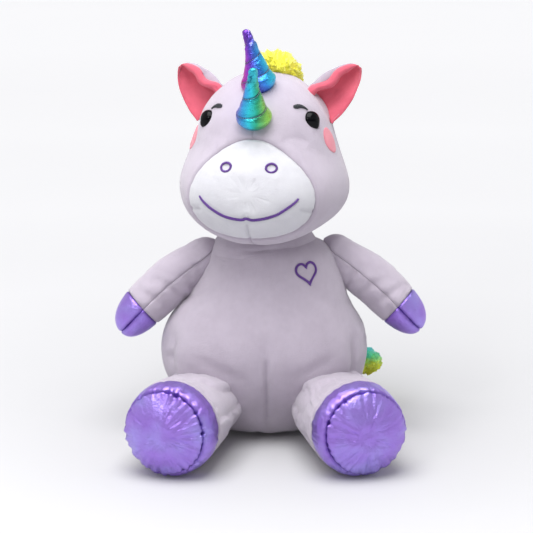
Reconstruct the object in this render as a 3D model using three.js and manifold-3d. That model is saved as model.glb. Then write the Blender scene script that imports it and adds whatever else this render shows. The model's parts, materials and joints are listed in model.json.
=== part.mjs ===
// A seated plush unicorn, in millimetres. +Z is up and the chest faces -Y, so the toy's own left is +X.
// The origin is on the floor, under the middle of the torso.
import * as THREE from 'three';
import { mergeVertices } from 'three/addons/utils/BufferGeometryUtils.js';
import Module from 'manifold-3d';

const wasm = await Module();
wasm.setup();

// Fabric and clearances
const wall = 2.5; // a cover panel with its seam allowance
const seamGap = 0.3; // between two panels, and between a cover and its stuffing
const jointGap = 0.6; // between a root and its socket
const sweepGap = 4; // round a limb in each position that the torso makes room for
const trimLift = 0.45; // from a cover up to the trim that lies on it
const threadRadius = 1.0;

// Torso: a wide belly, a chest above it and a seat below it
const torsoWidth = 208;
const torsoDepth = 172;
const bellyHeight = 82;
const chestWidth = 134;
const chestDepth = 112;
const chestHeight = 150;
const seatWidth = 172;
const seatDepth = 128;
const torsoTop = 194;
const sideSeamY = 6;
const seatPanelWidth = 104;
const seatPanelDepth = 84;

// Neck: the head nods and turns about one point, on a dome of this radius
const neckPivot = new THREE.Vector3(0, -5, 160);
const neckRadius = 66;

// Head: a skull, a lower cheek bulge and a muzzle, turned a little to the toy's right
const headCentre = new THREE.Vector3(-2, -12, 272);
const headTurn = THREE.MathUtils.degToRad(-10.3);
const skullWidth = 140;
const cheekWidth = 168;
const muzzleWidth = 128;
const muzzleReach = 96;

// Face trim, each at an angle round from the face's middle and an angle up
const eyeRadius = 7.6;
const eyeAngles = [57.5, 37.5];
const washerRadius = 9;
const shankRadius = 2.5;
const browAngles = [47, 47];
const browLength = 15;
const cheekAngles = [78, 15];
const cheekPatchWidth = 17;
const cheekPatchHeight = 27;
const nostrilAngles = [14.8, 4];
const nostrilWidth = 11;
const smileWidth = 30;

// Horns
const hornRootRadius = 16.5;
const hornHeight = 47;
const hornTipRadius = 2.6;
const hornJoinAngle = THREE.MathUtils.degToRad(15);
const hornThreadLow = 6;
const hornTurns = 2;
const frontHornAngle = 42;
const rearHornAngle = 69;

// Ears
const earLength = 52;
const earWidth = 44;
const earThickness = 1.8;
const earCup = 8;
const earSpace = 1.2; // the air between an ear's two layers
const earAngles = [90, 45];

// Arms
const shoulder = new THREE.Vector3(61, 1, 177);
const armTip = new THREE.Vector3(149, -15, 98);
const shoulderRadius = 18;
const leftArmShift = new THREE.Vector3(8, 0, 2.5); // the toy's left arm is sewn wider and higher
const armRadius = 22.5;
const hoofLength = 33;

// Legs
const legRadius = 44;
const hip = new THREE.Vector3(62, -45, legRadius + 0.2);
const legLength = 133;
const soleDepth = 10;
const footLength = 38;
const leftLegSplay = THREE.MathUtils.degToRad(12.2);
const rightLegSplay = THREE.MathUtils.degToRad(13.8); // the toy's right leg is sewn further round
const legSweepGap = 5.2;

// Tail and mane
const tailRoot = new THREE.Vector3(3, 90, 50);
const tailRootRadius = 8;
const tailRadius = 13;
const maneWidth = 24;
const maneHeight = 16;

const degrees = THREE.MathUtils.degToRad;
const up = new THREE.Vector3(0, 0, 1);

const velour = { color: 0xcfc6dc, roughness: 0.85 };
const white = { color: 0xf3f1f6, roughness: 0.9 };
const pink = { color: 0xea7d95, roughness: 0.85 };
const foil = { color: 0x8a62c8, roughness: 0.28, metalness: 0.85 };
const hornFoil = { color: 0x2f8fc4, roughness: 0.25, metalness: 0.85 };
const fill = { color: 0xf4f4f0, roughness: 1 };
const purpleThread = { color: 0x6a3fa0, roughness: 0.6 };
const silverThread = { color: 0x5f6672, roughness: 0.4, metalness: 0.4 };
const black = { color: 0x0a0a0c, roughness: 0.08 };
const clearPlastic = { color: 0xe6e6e6, roughness: 0.4 };
const fur = { color: 0xe6e24a, roughness: 0.95 };

// ---------------------------------------------------------------- solids

/** A closed geometry with only its merged positions, ready to cut. */
function bare(geometry) {
  geometry.deleteAttribute('normal');
  geometry.deleteAttribute('uv');
  return mergeVertices(geometry, 1e-4);
}

/** Turns a closed geometry into a solid. */
function solidOf(geometry) {
  const merged = bare(geometry.clone());
  return new wasm.Manifold(new wasm.Mesh({
    numProp: 3,
    vertProperties: new Float32Array(merged.attributes.position.array),
    triVerts: new Uint32Array(merged.index.array),
  }));
}

/** Turns a solid back into a geometry. */
function geometryOf(solid) {
  const mesh = solid.getMesh();
  const geometry = new THREE.BufferGeometry();
  geometry.setAttribute('position', new THREE.BufferAttribute(mesh.vertProperties, 3));
  geometry.setIndex(new THREE.BufferAttribute(mesh.triVerts, 1));
  geometry.computeVertexNormals();
  return geometry;
}

/** Moves every vertex of a geometry to where place sends it. */
function reshape(geometry, place) {
  const position = geometry.attributes.position;
  const point = new THREE.Vector3();
  for (let i = 0; i < position.count; i += 1) {
    const moved = place(point.fromBufferAttribute(position, i));
    position.setXYZ(i, moved.x, moved.y, moved.z);
  }
  return geometry;
}

/** A copy of a smooth closed geometry, moved inwards along its normals (outwards if depth is negative). */
function inset(geometry, depth) {
  const merged = bare(geometry.clone());
  merged.computeVertexNormals();
  const normal = merged.attributes.normal.clone();
  let i = 0;
  return reshape(merged, (p) => {
    const away = new THREE.Vector3().fromBufferAttribute(normal, i);
    i += 1;
    return p.clone().addScaledVector(away, -depth);
  });
}

/** A sphere with its poles on Z. */
function sphere(radius, columns, rows) {
  return new THREE.SphereGeometry(radius, columns, rows).rotateX(Math.PI / 2);
}

/** A ball at a point. */
function ball(centre, radius, columns = 14, rows = 8) {
  return solidOf(sphere(radius, columns, rows).translate(centre.x, centre.y, centre.z));
}

/** A faceted ball that a true ball of this radius fits inside, for sockets. */
function socket(centre, radius, columns = 12, rows = 6) {
  const facets = Math.cos(Math.PI / columns) * Math.cos(Math.PI / 2 / rows);
  return ball(centre, radius / facets, columns, rows);
}

/** A box between two corners. */
function block(low, high) {
  const size = high.map((value, i) => value - low[i]);
  const middle = high.map((value, i) => (value + low[i]) / 2);
  return solidOf(new THREE.BoxGeometry(...size).translate(...middle));
}

/** A matrix at origin whose Z is along and whose Y leans to above. */
function basis(origin, along, above) {
  const z = along.clone().normalize();
  const x = above.clone().cross(z).normalize();
  const y = z.clone().cross(x);
  return new THREE.Matrix4().makeBasis(x, y, z).setPosition(origin);
}

/** A straight cylinder from start along a direction. */
function rod(start, along, radius, length, sides = 20) {
  const geometry = new THREE.CylinderGeometry(radius, radius, length, sides).rotateX(Math.PI / 2);
  const side = Math.abs(along.z) > 0.9 ? new THREE.Vector3(0, 1, 0) : up;
  return geometry.translate(0, 0, length / 2).applyMatrix4(basis(start, along, side));
}

/** The whole space on one side of a plane: the side that along points to. */
function halfSpace(origin, along) {
  const reach = 400;
  const side = Math.abs(along.z) > 0.9 ? new THREE.Vector3(0, 1, 0) : up;
  const geometry = new THREE.BoxGeometry(reach, reach, reach).translate(0, 0, reach / 2);
  return solidOf(geometry.applyMatrix4(basis(origin, along, side)));
}

/** The part of a solid on the far side of a plane, moved off it by half a seam gap. */
function beyond(solid, origin, along) {
  const normal = along.clone().normalize();
  return solid.intersect(halfSpace(origin.clone().addScaledVector(normal, seamGap / 2), normal));
}

/** Two panels, before and beyond a plane, with a seam gap between them. */
function splitAt(solid, origin, along) {
  return [beyond(solid, origin, along.clone().negate()), beyond(solid, origin, along)];
}

/** Everything a solid fills as it turns about an axis through a point, at some angles in degrees. */
function sweep(solid, pivot, axis, angles) {
  const toPivot = new THREE.Matrix4().makeTranslation(pivot.x, pivot.y, pivot.z);
  const back = toPivot.clone().invert();
  let filled = solid;
  for (const angle of angles) {
    const turn = new THREE.Matrix4().makeRotationAxis(axis, degrees(angle));
    filled = filled.add(solid.transform(toPivot.clone().multiply(turn).multiply(back).toArray()));
  }
  return filled;
}

/** A panel without the slivers that cuts near its edges leave. */
function trimmed(solid) {
  return solid.decompose().reduce((a, b) => (a.volume() > b.volume() ? a : b));
}

// ---------------------------------------------------------------- organic shapes

/** A field that is below zero inside a soft blend of ellipsoids. */
function lobes(list, softness) {
  const size = (p, { centre, radii }) => {
    const x = (p.x - centre[0]) / radii[0];
    const y = (p.y - centre[1]) / radii[1];
    const z = (p.z - centre[2]) / radii[2];
    const near = Math.hypot(x, y, z);
    const slope = Math.hypot(x / radii[0], y / radii[1], z / radii[2]);
    return (near * (near - 1)) / Math.max(slope, 1e-9);
  };
  const join = (a, b) => {
    const mix = Math.max(softness - Math.abs(a - b), 0) / softness;
    return Math.min(a, b) - (mix * mix * softness) / 4;
  };
  return (p) => list.map((lobe) => size(p, lobe)).reduce(join);
}

/** The skin of a blended shape, seen from a point inside it. */
class Skin {
  constructor(field, centre) {
    this.field = field;
    this.centre = centre;
  }

  /** The point of the skin in a direction from the centre, lifted off the skin. */
  point(direction, lift = 0) {
    const d = direction.clone().normalize();
    const at = new THREE.Vector3();
    let near = 0;
    let far = 300;
    for (let i = 0; i < 40; i += 1) {
      const middle = (near + far) / 2;
      if (this.field(at.copy(this.centre).addScaledVector(d, middle)) < 0) {
        near = middle;
      } else {
        far = middle;
      }
    }
    at.copy(this.centre).addScaledVector(d, near);
    return lift === 0 ? at : at.addScaledVector(this.normal(at), lift);
  }

  /** The outward normal near a point. */
  normal(p) {
    const step = 0.5;
    const slope = (axis) => {
      const ahead = p.clone();
      const behind = p.clone();
      ahead[axis] += step;
      behind[axis] -= step;
      return this.field(ahead) - this.field(behind);
    };
    return new THREE.Vector3(slope('x'), slope('y'), slope('z')).normalize();
  }

  /** A closed body of this skin. */
  body(columns, rows) {
    return reshape(sphere(1, columns, rows), (p) => this.point(p));
  }

  /** Sends a flat point near the origin to the skin, round the spot in a direction. */
  wrap(direction, roll = 0) {
    const middle = this.point(direction);
    const matrix = basis(middle, this.normal(middle), up).multiply(new THREE.Matrix4().makeRotationZ(roll));
    return (p) => this.point(new THREE.Vector3(p.x, p.y, 0).applyMatrix4(matrix).sub(this.centre), p.z);
  }
}

/** The direction at an angle round from the front and an angle up, in degrees. */
function toward(round, rise) {
  const a = degrees(round);
  const b = degrees(rise);
  return new THREE.Vector3(Math.sin(a) * Math.cos(b), -Math.cos(a) * Math.cos(b), Math.sin(b));
}

/**
 * A closed loft along a curve. radius(s) is its half width at the length s, from start to end, and flat
 * is its thickness over its width.
 */
function loft({ at, along, radius, start, end, columns, rows, flat = 1, above = up }) {
  const frame = basis(new THREE.Vector3(), along.clone().negate(), above);
  return reshape(sphere(1, columns, rows), (p) => {
    const s = start + ((end - start) * (1 - p.z)) / 2;
    const round = Math.atan2(p.y, p.x);
    const width = Math.hypot(p.x, p.y) < 1e-6 ? 0 : radius(s);
    const across = new THREE.Vector3(width * flat * Math.cos(round), width * Math.sin(round), 0);
    return at(s).add(across.applyMatrix4(frame));
  });
}

/** The half width of a limb that starts as a ball and ends in a rounded tip. */
function limbRadius(root, full, swell, tipStart, end) {
  return (s) => {
    if (s > tipStart) {
      const u = Math.min((s - tipStart) / (end - tipStart), 1);
      return full * (1 - u ** 2.4) ** (1 / 2.4);
    }
    const ballPart = Math.sqrt(Math.max(root * root - s * s, 0));
    if (s <= 0) {
      return ballPart;
    }
    const grow = Math.min(s / swell, 1);
    return root + (full - root) * grow * grow * (3 - 2 * grow);
  };
}

/** A round thread along a curve. */
function thread(curve, steps, radius = threadRadius) {
  const section = new THREE.Shape();
  const sides = 5;
  for (let i = 0; i < sides; i += 1) {
    const a = (i / sides) * 2 * Math.PI;
    const put = i === 0 ? 'moveTo' : 'lineTo';
    section[put](radius * Math.cos(a), radius * Math.sin(a));
  }
  return new THREE.ExtrudeGeometry(section, { steps, bevelEnabled: false, extrudePath: curve });
}

/** A closed thread laid along a flat outline and wrapped onto a skin. */
function threadLoop(outline, wrap, segments) {
  return reshape(new THREE.TorusGeometry(1, 0.5, 5, segments), (p) => {
    const out = (Math.hypot(p.x, p.y) - 1) * 2 * threadRadius;
    const [x, y] = outline(Math.atan2(p.y, p.x), out);
    return wrap(new THREE.Vector3(x, y, p.z * 2 * threadRadius + threadRadius + trimLift));
  });
}

/** A flat patch wrapped onto a skin: edge(a) is its half size at the angle a. */
function patch(edge, thickness, wrap, segments) {
  const disc = new THREE.CylinderGeometry(1, 1, 1, segments, 1).rotateX(Math.PI / 2).translate(0, 0, 0.5);
  return reshape(disc, (p) => {
    const round = Math.atan2(p.y, p.x);
    const size = Math.hypot(p.x, p.y) < 1e-6 ? 0 : edge(round);
    return wrap(new THREE.Vector3(size * Math.cos(round), size * Math.sin(round), p.z * thickness + trimLift));
  });
}

/** The half size of an ellipse at an angle. */
function ellipse(width, height) {
  return (a) => (width * height) / 2 / Math.hypot(height * Math.cos(a), width * Math.sin(a));
}

// ---------------------------------------------------------------- the object

const unicorn = new THREE.Group();
const head = new THREE.Group();
head.position.copy(headCentre);
head.rotation.z = headTurn;
unicorn.add(head);
head.updateMatrixWorld(true);
const toHead = head.matrixWorld.clone().invert();

/** Adds a named piece to a group. */
function addPiece(name, shape, finish, group = unicorn) {
  const geometry = geometryOf(shape.isBufferGeometry ? solidOf(shape) : trimmed(shape));
  const mesh = new THREE.Mesh(geometry, new THREE.MeshStandardMaterial(finish));
  mesh.name = name;
  group.add(mesh);
}

/** The mirror image of a point or direction on the other side of the body. */
function mirrored(p, side) {
  return new THREE.Vector3(p.x * side, p.y, p.z);
}

const sides = [['left', 1], ['right', -1]];

/** An arm's shapes on one side: its body, the room it turns in and the planes of its seams. */
function armShapes(side) {
  const shift = leftArmShift.clone().multiplyScalar(Math.max(side, 0));
  const root = mirrored(shoulder, side).add(shift);
  const tip = mirrored(armTip, side).add(shift);
  const along = tip.clone().sub(root).normalize();
  const length = tip.distanceTo(root);
  const bow = new THREE.Vector3(along.z * -side, 0, Math.abs(along.x));
  const at = (s) => root.clone().addScaledVector(along, s)
    .addScaledVector(bow, 4 * Math.sin(Math.PI * THREE.MathUtils.clamp(s / length, 0, 1)));
  const radius = limbRadius(shoulderRadius, armRadius, length * 0.35, length - hoofLength - 12, length);
  const shape = (columns, rows) => loft({ at, along, radius, start: -shoulderRadius, end: length, columns, rows });
  const axis = new THREE.Vector3(0, -side, 0);
  const room = sweep(solidOf(inset(shape(10, 9), -sweepGap)), root, axis, [-5]);
  return { root, along, length, bow, at, body: shape(12, 9), room };
}

/** A leg's shapes on one side. */
function legShapes(side) {
  const root = mirrored(hip, side);
  const splay = side > 0 ? leftLegSplay : rightLegSplay;
  const along = new THREE.Vector3(side * Math.sin(splay), -Math.cos(splay), 0);
  const at = (s) => root.clone().addScaledVector(along, s);
  const radius = limbRadius(legRadius, legRadius, 1, legLength - footLength * 0.7, legLength);
  const shape = (columns, rows) => loft({ at, along, radius, start: -legRadius, end: legLength, columns, rows });
  const axis = new THREE.Vector3(Math.cos(splay), side * Math.sin(splay), 0);
  const room = sweep(solidOf(inset(shape(10, 6), -legSweepGap)), root, axis, [-20, 18]);
  return { root, along, at, body: shape(14, 9), room };
}

// Torso
const torsoSkin = new Skin(lobes([
  { centre: [-2, 0, bellyHeight], radii: [torsoWidth / 2, torsoDepth / 2, bellyHeight - 2] },
  { centre: [6, -4, chestHeight], radii: [chestWidth / 2, chestDepth / 2, 72] },
  { centre: [0, 14, 34], radii: [seatWidth / 2, seatDepth / 2, 37] },
], 30), new THREE.Vector3(0, 0, 95));

const arms = sides.map(([name, side]) => ({ name, side, ...armShapes(side) }));
const legs = sides.map(([name, side]) => ({ name, side, ...legShapes(side) }));

/** The torso, its seat pressed flat on the floor. */
const torsoBody = reshape(torsoSkin.body(20, 13), (p) => p.setZ(Math.max(p.z, 0)));
let torsoRooms = block([-200, -200, torsoTop - seamGap], [200, 200, 300]);
for (const limb of [...arms, ...legs]) {
  torsoRooms = torsoRooms.add(limb.room);
}
torsoRooms = torsoRooms.add(socket(tailRoot, tailRootRadius + sweepGap, 12, 8));

function buildTorso() {
  const cover = solidOf(torsoBody).subtract(solidOf(inset(torsoBody, wall))).subtract(torsoRooms);
  const seatEdge = (grow) => solidOf(new THREE.CylinderGeometry(1, 1, 40, 16).rotateX(Math.PI / 2)
    .scale(seatPanelWidth / 2 + grow, seatPanelDepth / 2 + grow, 1).translate(0, 8, 0));
  const sideSeam = new THREE.Vector3(0, sideSeamY, 0);
  const [front, back] = splitAt(cover.subtract(seatEdge(seamGap)), sideSeam, new THREE.Vector3(0, 1, 0));
  const [backRight, backLeft] = splitAt(back, new THREE.Vector3(0, 0, 0), new THREE.Vector3(1, 0, 0));
  addPiece('torso_front_panel', front, velour);
  addPiece('torso_back_left_panel', backLeft, velour);
  addPiece('torso_back_right_panel', backRight, velour);
  addPiece('seat_panel', cover.intersect(seatEdge(0)), velour);
  addPiece('torso_stuffing', solidOf(inset(torsoBody, wall + seamGap)).subtract(torsoRooms), fill);
}

/** A heart outline in thread on the left of the chest. */
function buildChestHeart() {
  const size = 11;
  const outline = (a, out) => {
    const x = -(Math.sin(a) ** 3);
    const y = (13 * Math.cos(a) - 5 * Math.cos(2 * a) - 2 * Math.cos(3 * a) - Math.cos(4 * a)) / 16;
    const grow = (size + out) / size;
    return [x * size * grow, y * size * 1.1 * grow];
  };
  addPiece('chest_heart_stitching', threadLoop(outline, torsoSkin.wrap(toward(38, 47)), 32), purpleThread);
}

/** The neck: a domed plug on the flat top of the torso, under the head. */
function buildNeck() {
  const dome = ball(neckPivot, neckRadius, 18, 10);
  const plug = beyond(dome, new THREE.Vector3(0, 0, torsoTop - seamGap / 2), up);
  const core = ball(neckPivot, neckRadius - wall, 18, 10);
  const hole = rod(new THREE.Vector3(neckPivot.x, neckPivot.y, torsoTop - 10), up, 34, 100, 16);
  const cover = plug.subtract(core).subtract(solidOf(hole));
  addPiece('neck_cover', cover, velour);
  const stuffing = ball(neckPivot, neckRadius - wall - seamGap, 18, 10);
  addPiece('neck_stuffing', stuffing.intersect(plug), fill);
}

// Head
const headSkin = new Skin(lobes([
  { centre: [0, 6, 12], radii: [skullWidth / 2, 72, 78] },
  { centre: [0, 0, -24], radii: [cheekWidth / 2, 74, 50] },
  { centre: [0, 50 - muzzleReach, -26], radii: [muzzleWidth / 2, 50, 44] },
], 26), new THREE.Vector3(0, 0, 0));
const headBody = headSkin.body(20, 14);

/** A cone from the head's middle through the muzzle seam, a little wider or narrower than the seam. */
function muzzleCone(grow) {
  const cone = new THREE.ConeGeometry(1, 1, 24).translate(0, -0.5, 0).rotateX(-Math.PI / 2);
  const frame = basis(new THREE.Vector3(), toward(0, -10), up);
  const reach = 160;
  const spread = (a) => 37.25 + 0.2 * Math.cos(a) - 4.25 * Math.cos(2 * a) + 2.3 * Math.cos(3 * a);
  return solidOf(reshape(cone, (p) => {
    if (p.z < 0.5) {
      return new THREE.Vector3();
    }
    const around = Math.atan2(p.x, p.y);
    const lean = Math.hypot(p.x, p.y) < 1e-6 ? 0 : degrees(spread(around)) + grow / muzzleReach;
    const out = new THREE.Vector3(Math.sin(lean) * Math.sin(around), Math.sin(lean) * Math.cos(around), 0);
    return out.setZ(Math.cos(lean)).multiplyScalar(reach).applyMatrix4(frame);
  }));
}

const horns = [
  { name: 'front', direction: toward(0, frontHornAngle), lean: new THREE.Vector3(0, -0.42, 0.91) },
  { name: 'rear', direction: toward(0, rearHornAngle), lean: new THREE.Vector3(-0.2, -0.16, 0.96) },
];
for (const horn of horns) {
  horn.lean.normalize();
  horn.root = headSkin.point(horn.direction, 4);
}

const ears = sides.map(([name, side]) => {
  const direction = toward(earAngles[0] * side, earAngles[1]);
  const root = headSkin.point(direction, -1.5);
  const along = new THREE.Vector3(0.68 * side, 0.14, 0.72).normalize();
  const hinge = new THREE.Vector3(-0.72 * side, 0, 0.69).normalize();
  return { name, side, root, along, hinge };
});
const earRootRadius = 6.2;

const eyes = sides.map(([name, side]) => {
  const direction = toward(eyeAngles[0] * side, eyeAngles[1]);
  const spot = headSkin.point(direction);
  return { name, side, direction, spot, out: headSkin.normal(spot) };
});

function buildHeadCovers() {
  const neckCentre = neckPivot.clone().applyMatrix4(toHead);
  let rooms = socket(neckCentre, neckRadius + jointGap, 18, 10);
  for (const horn of horns) {
    rooms = rooms.add(socket(horn.root, hornRootRadius + jointGap));
  }
  for (const ear of ears) {
    const start = ear.root.clone().addScaledVector(ear.hinge, -earWidth / 2 - 2);
    rooms = rooms.add(solidOf(rod(start, ear.hinge, earRootRadius + jointGap, earWidth + 4, 10)));
  }
  let eyeHoles = ball(neckCentre, 1, 6, 4);
  let eyePockets = ball(neckCentre, 1, 6, 4);
  for (const eye of eyes) {
    const hole = rod(eye.spot.clone().addScaledVector(eye.out, -14), eye.out, shankRadius + seamGap, 24, 10);
    eyeHoles = eyeHoles.add(solidOf(hole));
    const pocket = rod(eye.spot.clone().addScaledVector(eye.out, -12), eye.out, washerRadius + 1, 17, 12);
    eyePockets = eyePockets.add(solidOf(pocket));
  }
  const cover = solidOf(headBody).subtract(solidOf(inset(headBody, wall))).subtract(rooms).subtract(eyeHoles);
  const back = cover.subtract(muzzleCone(seamGap / 2));
  const [right, left] = splitAt(back, new THREE.Vector3(), new THREE.Vector3(1, 0, 0));
  addPiece('head_left_panel', left, velour, head);
  addPiece('head_right_panel', right, velour, head);
  addPiece('muzzle_panel', cover.intersect(muzzleCone(-seamGap / 2)), white, head);
  const stuffing = solidOf(inset(headBody, wall + seamGap)).subtract(rooms).subtract(eyePockets);
  addPiece('head_stuffing', stuffing, fill, head);
}

function buildEyes() {
  for (const eye of eyes) {
    const point = degrees(eye.side > 0 ? -40 : -140);
    const dome = reshape(sphere(1, 14, 6), (p) => {
      const gap = Math.atan2(Math.sin(Math.atan2(p.y, p.x) - point), Math.cos(Math.atan2(p.y, p.x) - point));
      const reach = eyeRadius * (1 + 0.16 * Math.exp(-((gap / 0.45) ** 2)));
      return p.set(p.x * reach, p.y * reach, Math.max(p.z, 0) * 4.6);
    });
    const foot = eye.spot.clone().addScaledVector(eye.out, seamGap);
    const seated = dome.applyMatrix4(basis(foot, eye.out, up));
    const shank = rod(eye.spot.clone().addScaledVector(eye.out, -9), eye.out, shankRadius, 11, 10);
    addPiece(`${eye.name}_eye`, solidOf(seated).add(solidOf(shank)), black, head);
    const start = eye.spot.clone().addScaledVector(eye.out, -wall - 3.8);
    const ring = solidOf(rod(start, eye.out, washerRadius, 1.6, 14));
    const hole = solidOf(rod(eye.spot.clone().addScaledVector(eye.out, -12), eye.out, shankRadius + seamGap, 14, 10));
    addPiece(`${eye.name}_eye_washer`, ring.subtract(hole), clearPlastic, head);
  }
}

function buildFaceTrim() {
  for (const [name, side] of sides) {
    const browEdge = ellipse(browLength, 4);
    const browSpot = headSkin.wrap(toward(browAngles[0] * side, browAngles[1]), degrees(14 * side));
    addPiece(`${name}_eyebrow`, patch(browEdge, 1.2, browSpot, 16), black, head);
    const cheekEdge = ellipse(cheekPatchWidth, cheekPatchHeight);
    const cheekSpot = headSkin.wrap(toward(cheekAngles[0] * side, cheekAngles[1]), degrees(18 * side));
    addPiece(`${name}_cheek_patch`, patch(cheekEdge, 1.4, cheekSpot, 20), pink, head);
    const nostrilEdge = ellipse(nostrilWidth, nostrilWidth * 0.84);
    const ring = (a, out) => [(nostrilEdge(a) + out) * Math.cos(a), (nostrilEdge(a) + out) * Math.sin(a)];
    const nostrilSpot = headSkin.wrap(toward(nostrilAngles[0] * side, nostrilAngles[1]), degrees(-12 * side));
    addPiece(`${name}_nostril_stitching`, threadLoop(ring, nostrilSpot, 20), purpleThread, head);
  }
  const points = [];
  const steps = 12;
  for (let i = 0; i <= steps; i += 1) {
    const t = (i / steps) * 2 - 1;
    const rise = -24.4 + 11 * Math.abs(t) ** 2.2;
    points.push(headSkin.point(toward(smileWidth * t, rise), threadRadius + trimLift));
  }
  const smile = thread(new THREE.CatmullRomCurve3(points), 30);
  addPiece('smile_stitching', smile, purpleThread, head);
}

/** A horn's half width at a height above its root's middle: a ball below and a straight cone above. */
function hornRadius(height, shrink = 0) {
  const joinHeight = hornRootRadius * Math.sin(hornJoinAngle);
  const ballRadius = hornRootRadius - shrink;
  if (height < joinHeight) {
    return Math.sqrt(Math.max(ballRadius ** 2 - height ** 2, 0));
  }
  const share = (height - joinHeight) / (hornHeight - joinHeight);
  return THREE.MathUtils.lerp(hornRootRadius * Math.cos(hornJoinAngle), hornTipRadius, share) - shrink;
}

/** A horn's outline, from the bottom of its root to its tip. */
function hornOutline(shrink) {
  const r = hornRootRadius - shrink;
  const outline = [new THREE.Vector2(0, -r)];
  const rootSteps = 5;
  for (let i = 1; i <= rootSteps; i += 1) {
    const a = -Math.PI / 2 + (i / rootSteps) * (Math.PI / 2 + hornJoinAngle);
    outline.push(new THREE.Vector2(r * Math.cos(a), r * Math.sin(a)));
  }
  const coneEnd = hornHeight - 2 - 3 * shrink;
  for (const share of [0.5, 1]) {
    const height = THREE.MathUtils.lerp(outline[rootSteps].y, coneEnd, share);
    outline.push(new THREE.Vector2(hornRadius(height, shrink), height));
  }
  outline.push(new THREE.Vector2(0, coneEnd + 1.6));
  return outline;
}

function buildHorns() {
  const clothWall = 1.6;
  const cordRadius = 0.6;
  for (const horn of horns) {
    const place = basis(horn.root, horn.lean, new THREE.Vector3(0, 1, 0));
    const turned = (shrink) => solidOf(new THREE.LatheGeometry(hornOutline(shrink), 12)
      .rotateX(Math.PI / 2).applyMatrix4(place));
    const below = horn.root.clone().addScaledVector(horn.lean, -hornRootRadius - 5);
    const cover = turned(0).subtract(turned(clothWall)).subtract(solidOf(rod(below, horn.lean, 9, 20, 14)));
    addPiece(`${horn.name}_horn_cover`, cover, hornFoil, head);
    addPiece(`${horn.name}_horn_stuffing`, turned(clothWall + seamGap), fill, head);
    const turns = [];
    const steps = hornTurns * 14;
    for (let i = 0; i <= steps; i += 1) {
      const height = THREE.MathUtils.lerp(hornThreadLow, hornHeight - 7, i / steps);
      const around = (hornTurns * 2 * Math.PI * i) / steps;
      const r = hornRadius(height) + trimLift + cordRadius;
      turns.push(new THREE.Vector3(r * Math.cos(around), r * Math.sin(around), height).applyMatrix4(place));
    }
    const spiral = thread(new THREE.CatmullRomCurve3(turns), hornTurns * 15, cordRadius);
    addPiece(`${horn.name}_horn_thread`, spiral, silverThread, head);
  }
}

function buildEars() {
  for (const ear of ears) {
    const facing = ear.hinge.clone().cross(ear.along).multiplyScalar(ear.side).normalize();
    const frame = new THREE.Matrix4().makeBasis(ear.hinge.clone().multiplyScalar(ear.side), ear.along, facing);
    frame.setPosition(ear.root);
    const layer = (low, high) => {
      const sheet = new THREE.BoxGeometry(2, 1, 1, 6, 5, 1).translate(0, 0.5, 0.5);
      return reshape(sheet, (p) => {
        const t = p.y;
        const width = earWidth / 2 * (1 - 0.12 * (1 - t) ** 2) * Math.sqrt(Math.max(1 - t ** 3.2, 0.004));
        const cup = earCup * t * ((p.x * width) / (earWidth / 2)) ** 2;
        const z = low + (high - low) * p.z - cup;
        return new THREE.Vector3(p.x * width, -3 + (earLength + 3) * t, z).applyMatrix4(frame);
      });
    };
    addPiece(`${ear.name}_ear_back`, layer(earSpace / 2, earSpace / 2 + earThickness), velour, head);
    addPiece(`${ear.name}_ear_lining`, layer(-earSpace / 2 - earThickness, -earSpace / 2), pink, head);
  }
}

/** A strip of fur over the top and back of the head, behind the horns. */
function buildMane() {
  const strip = new THREE.BoxGeometry(2, 1, 1, 3, 12, 1).translate(0, 0.5, 0.5);
  const mane = reshape(strip, (p) => {
    const rise = 96 + 84 * p.y;
    const side = (p.x * maneWidth) / 2 / 85;
    const out = new THREE.Vector3(side, -Math.cos(degrees(rise)), Math.sin(degrees(rise)));
    const crown = maneHeight * (0.55 + 0.45 * Math.sin(Math.PI * Math.min(p.y + 0.25, 1)));
    return headSkin.point(out, trimLift + crown * p.z * (1 - 0.3 * p.x * p.x));
  });
  addPiece('mane', mane, fur, head);
}

function buildArms() {
  for (const arm of arms) {
    const outer = solidOf(arm.body);
    const cover = outer.subtract(solidOf(inset(arm.body, wall)));
    const [sleeve, hoof] = splitAt(cover, arm.at(arm.length - hoofLength), arm.along);
    const seamPoint = arm.at(arm.length / 2);
    const [sleeveInner, sleeveOuter] = splitAt(sleeve, seamPoint, arm.bow);
    const [hoofInner, hoofOuter] = splitAt(hoof, seamPoint, arm.bow);
    addPiece(`${arm.name}_arm_outer_panel`, sleeveOuter, velour);
    addPiece(`${arm.name}_arm_inner_panel`, sleeveInner, velour);
    addPiece(`${arm.name}_hoof_outer_panel`, hoofOuter, foil);
    addPiece(`${arm.name}_hoof_inner_panel`, hoofInner, foil);
    addPiece(`${arm.name}_arm_stuffing`, inset(arm.body, wall + seamGap), fill);
  }
}

function buildLegs() {
  for (const leg of legs) {
    const cover = solidOf(leg.body).subtract(solidOf(inset(leg.body, wall)));
    const [trouser, foot] = splitAt(cover, leg.at(legLength - footLength), leg.along);
    const [band, sole] = splitAt(foot, leg.at(legLength - soleDepth), leg.along);
    addPiece(`${leg.name}_leg_cover`, trouser, velour);
    addPiece(`${leg.name}_foot_band`, band, foil);
    addPiece(`${leg.name}_foot_sole`, sole, foil);
    addPiece(`${leg.name}_leg_stuffing`, inset(leg.body, wall + seamGap), fill);
  }
}

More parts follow.
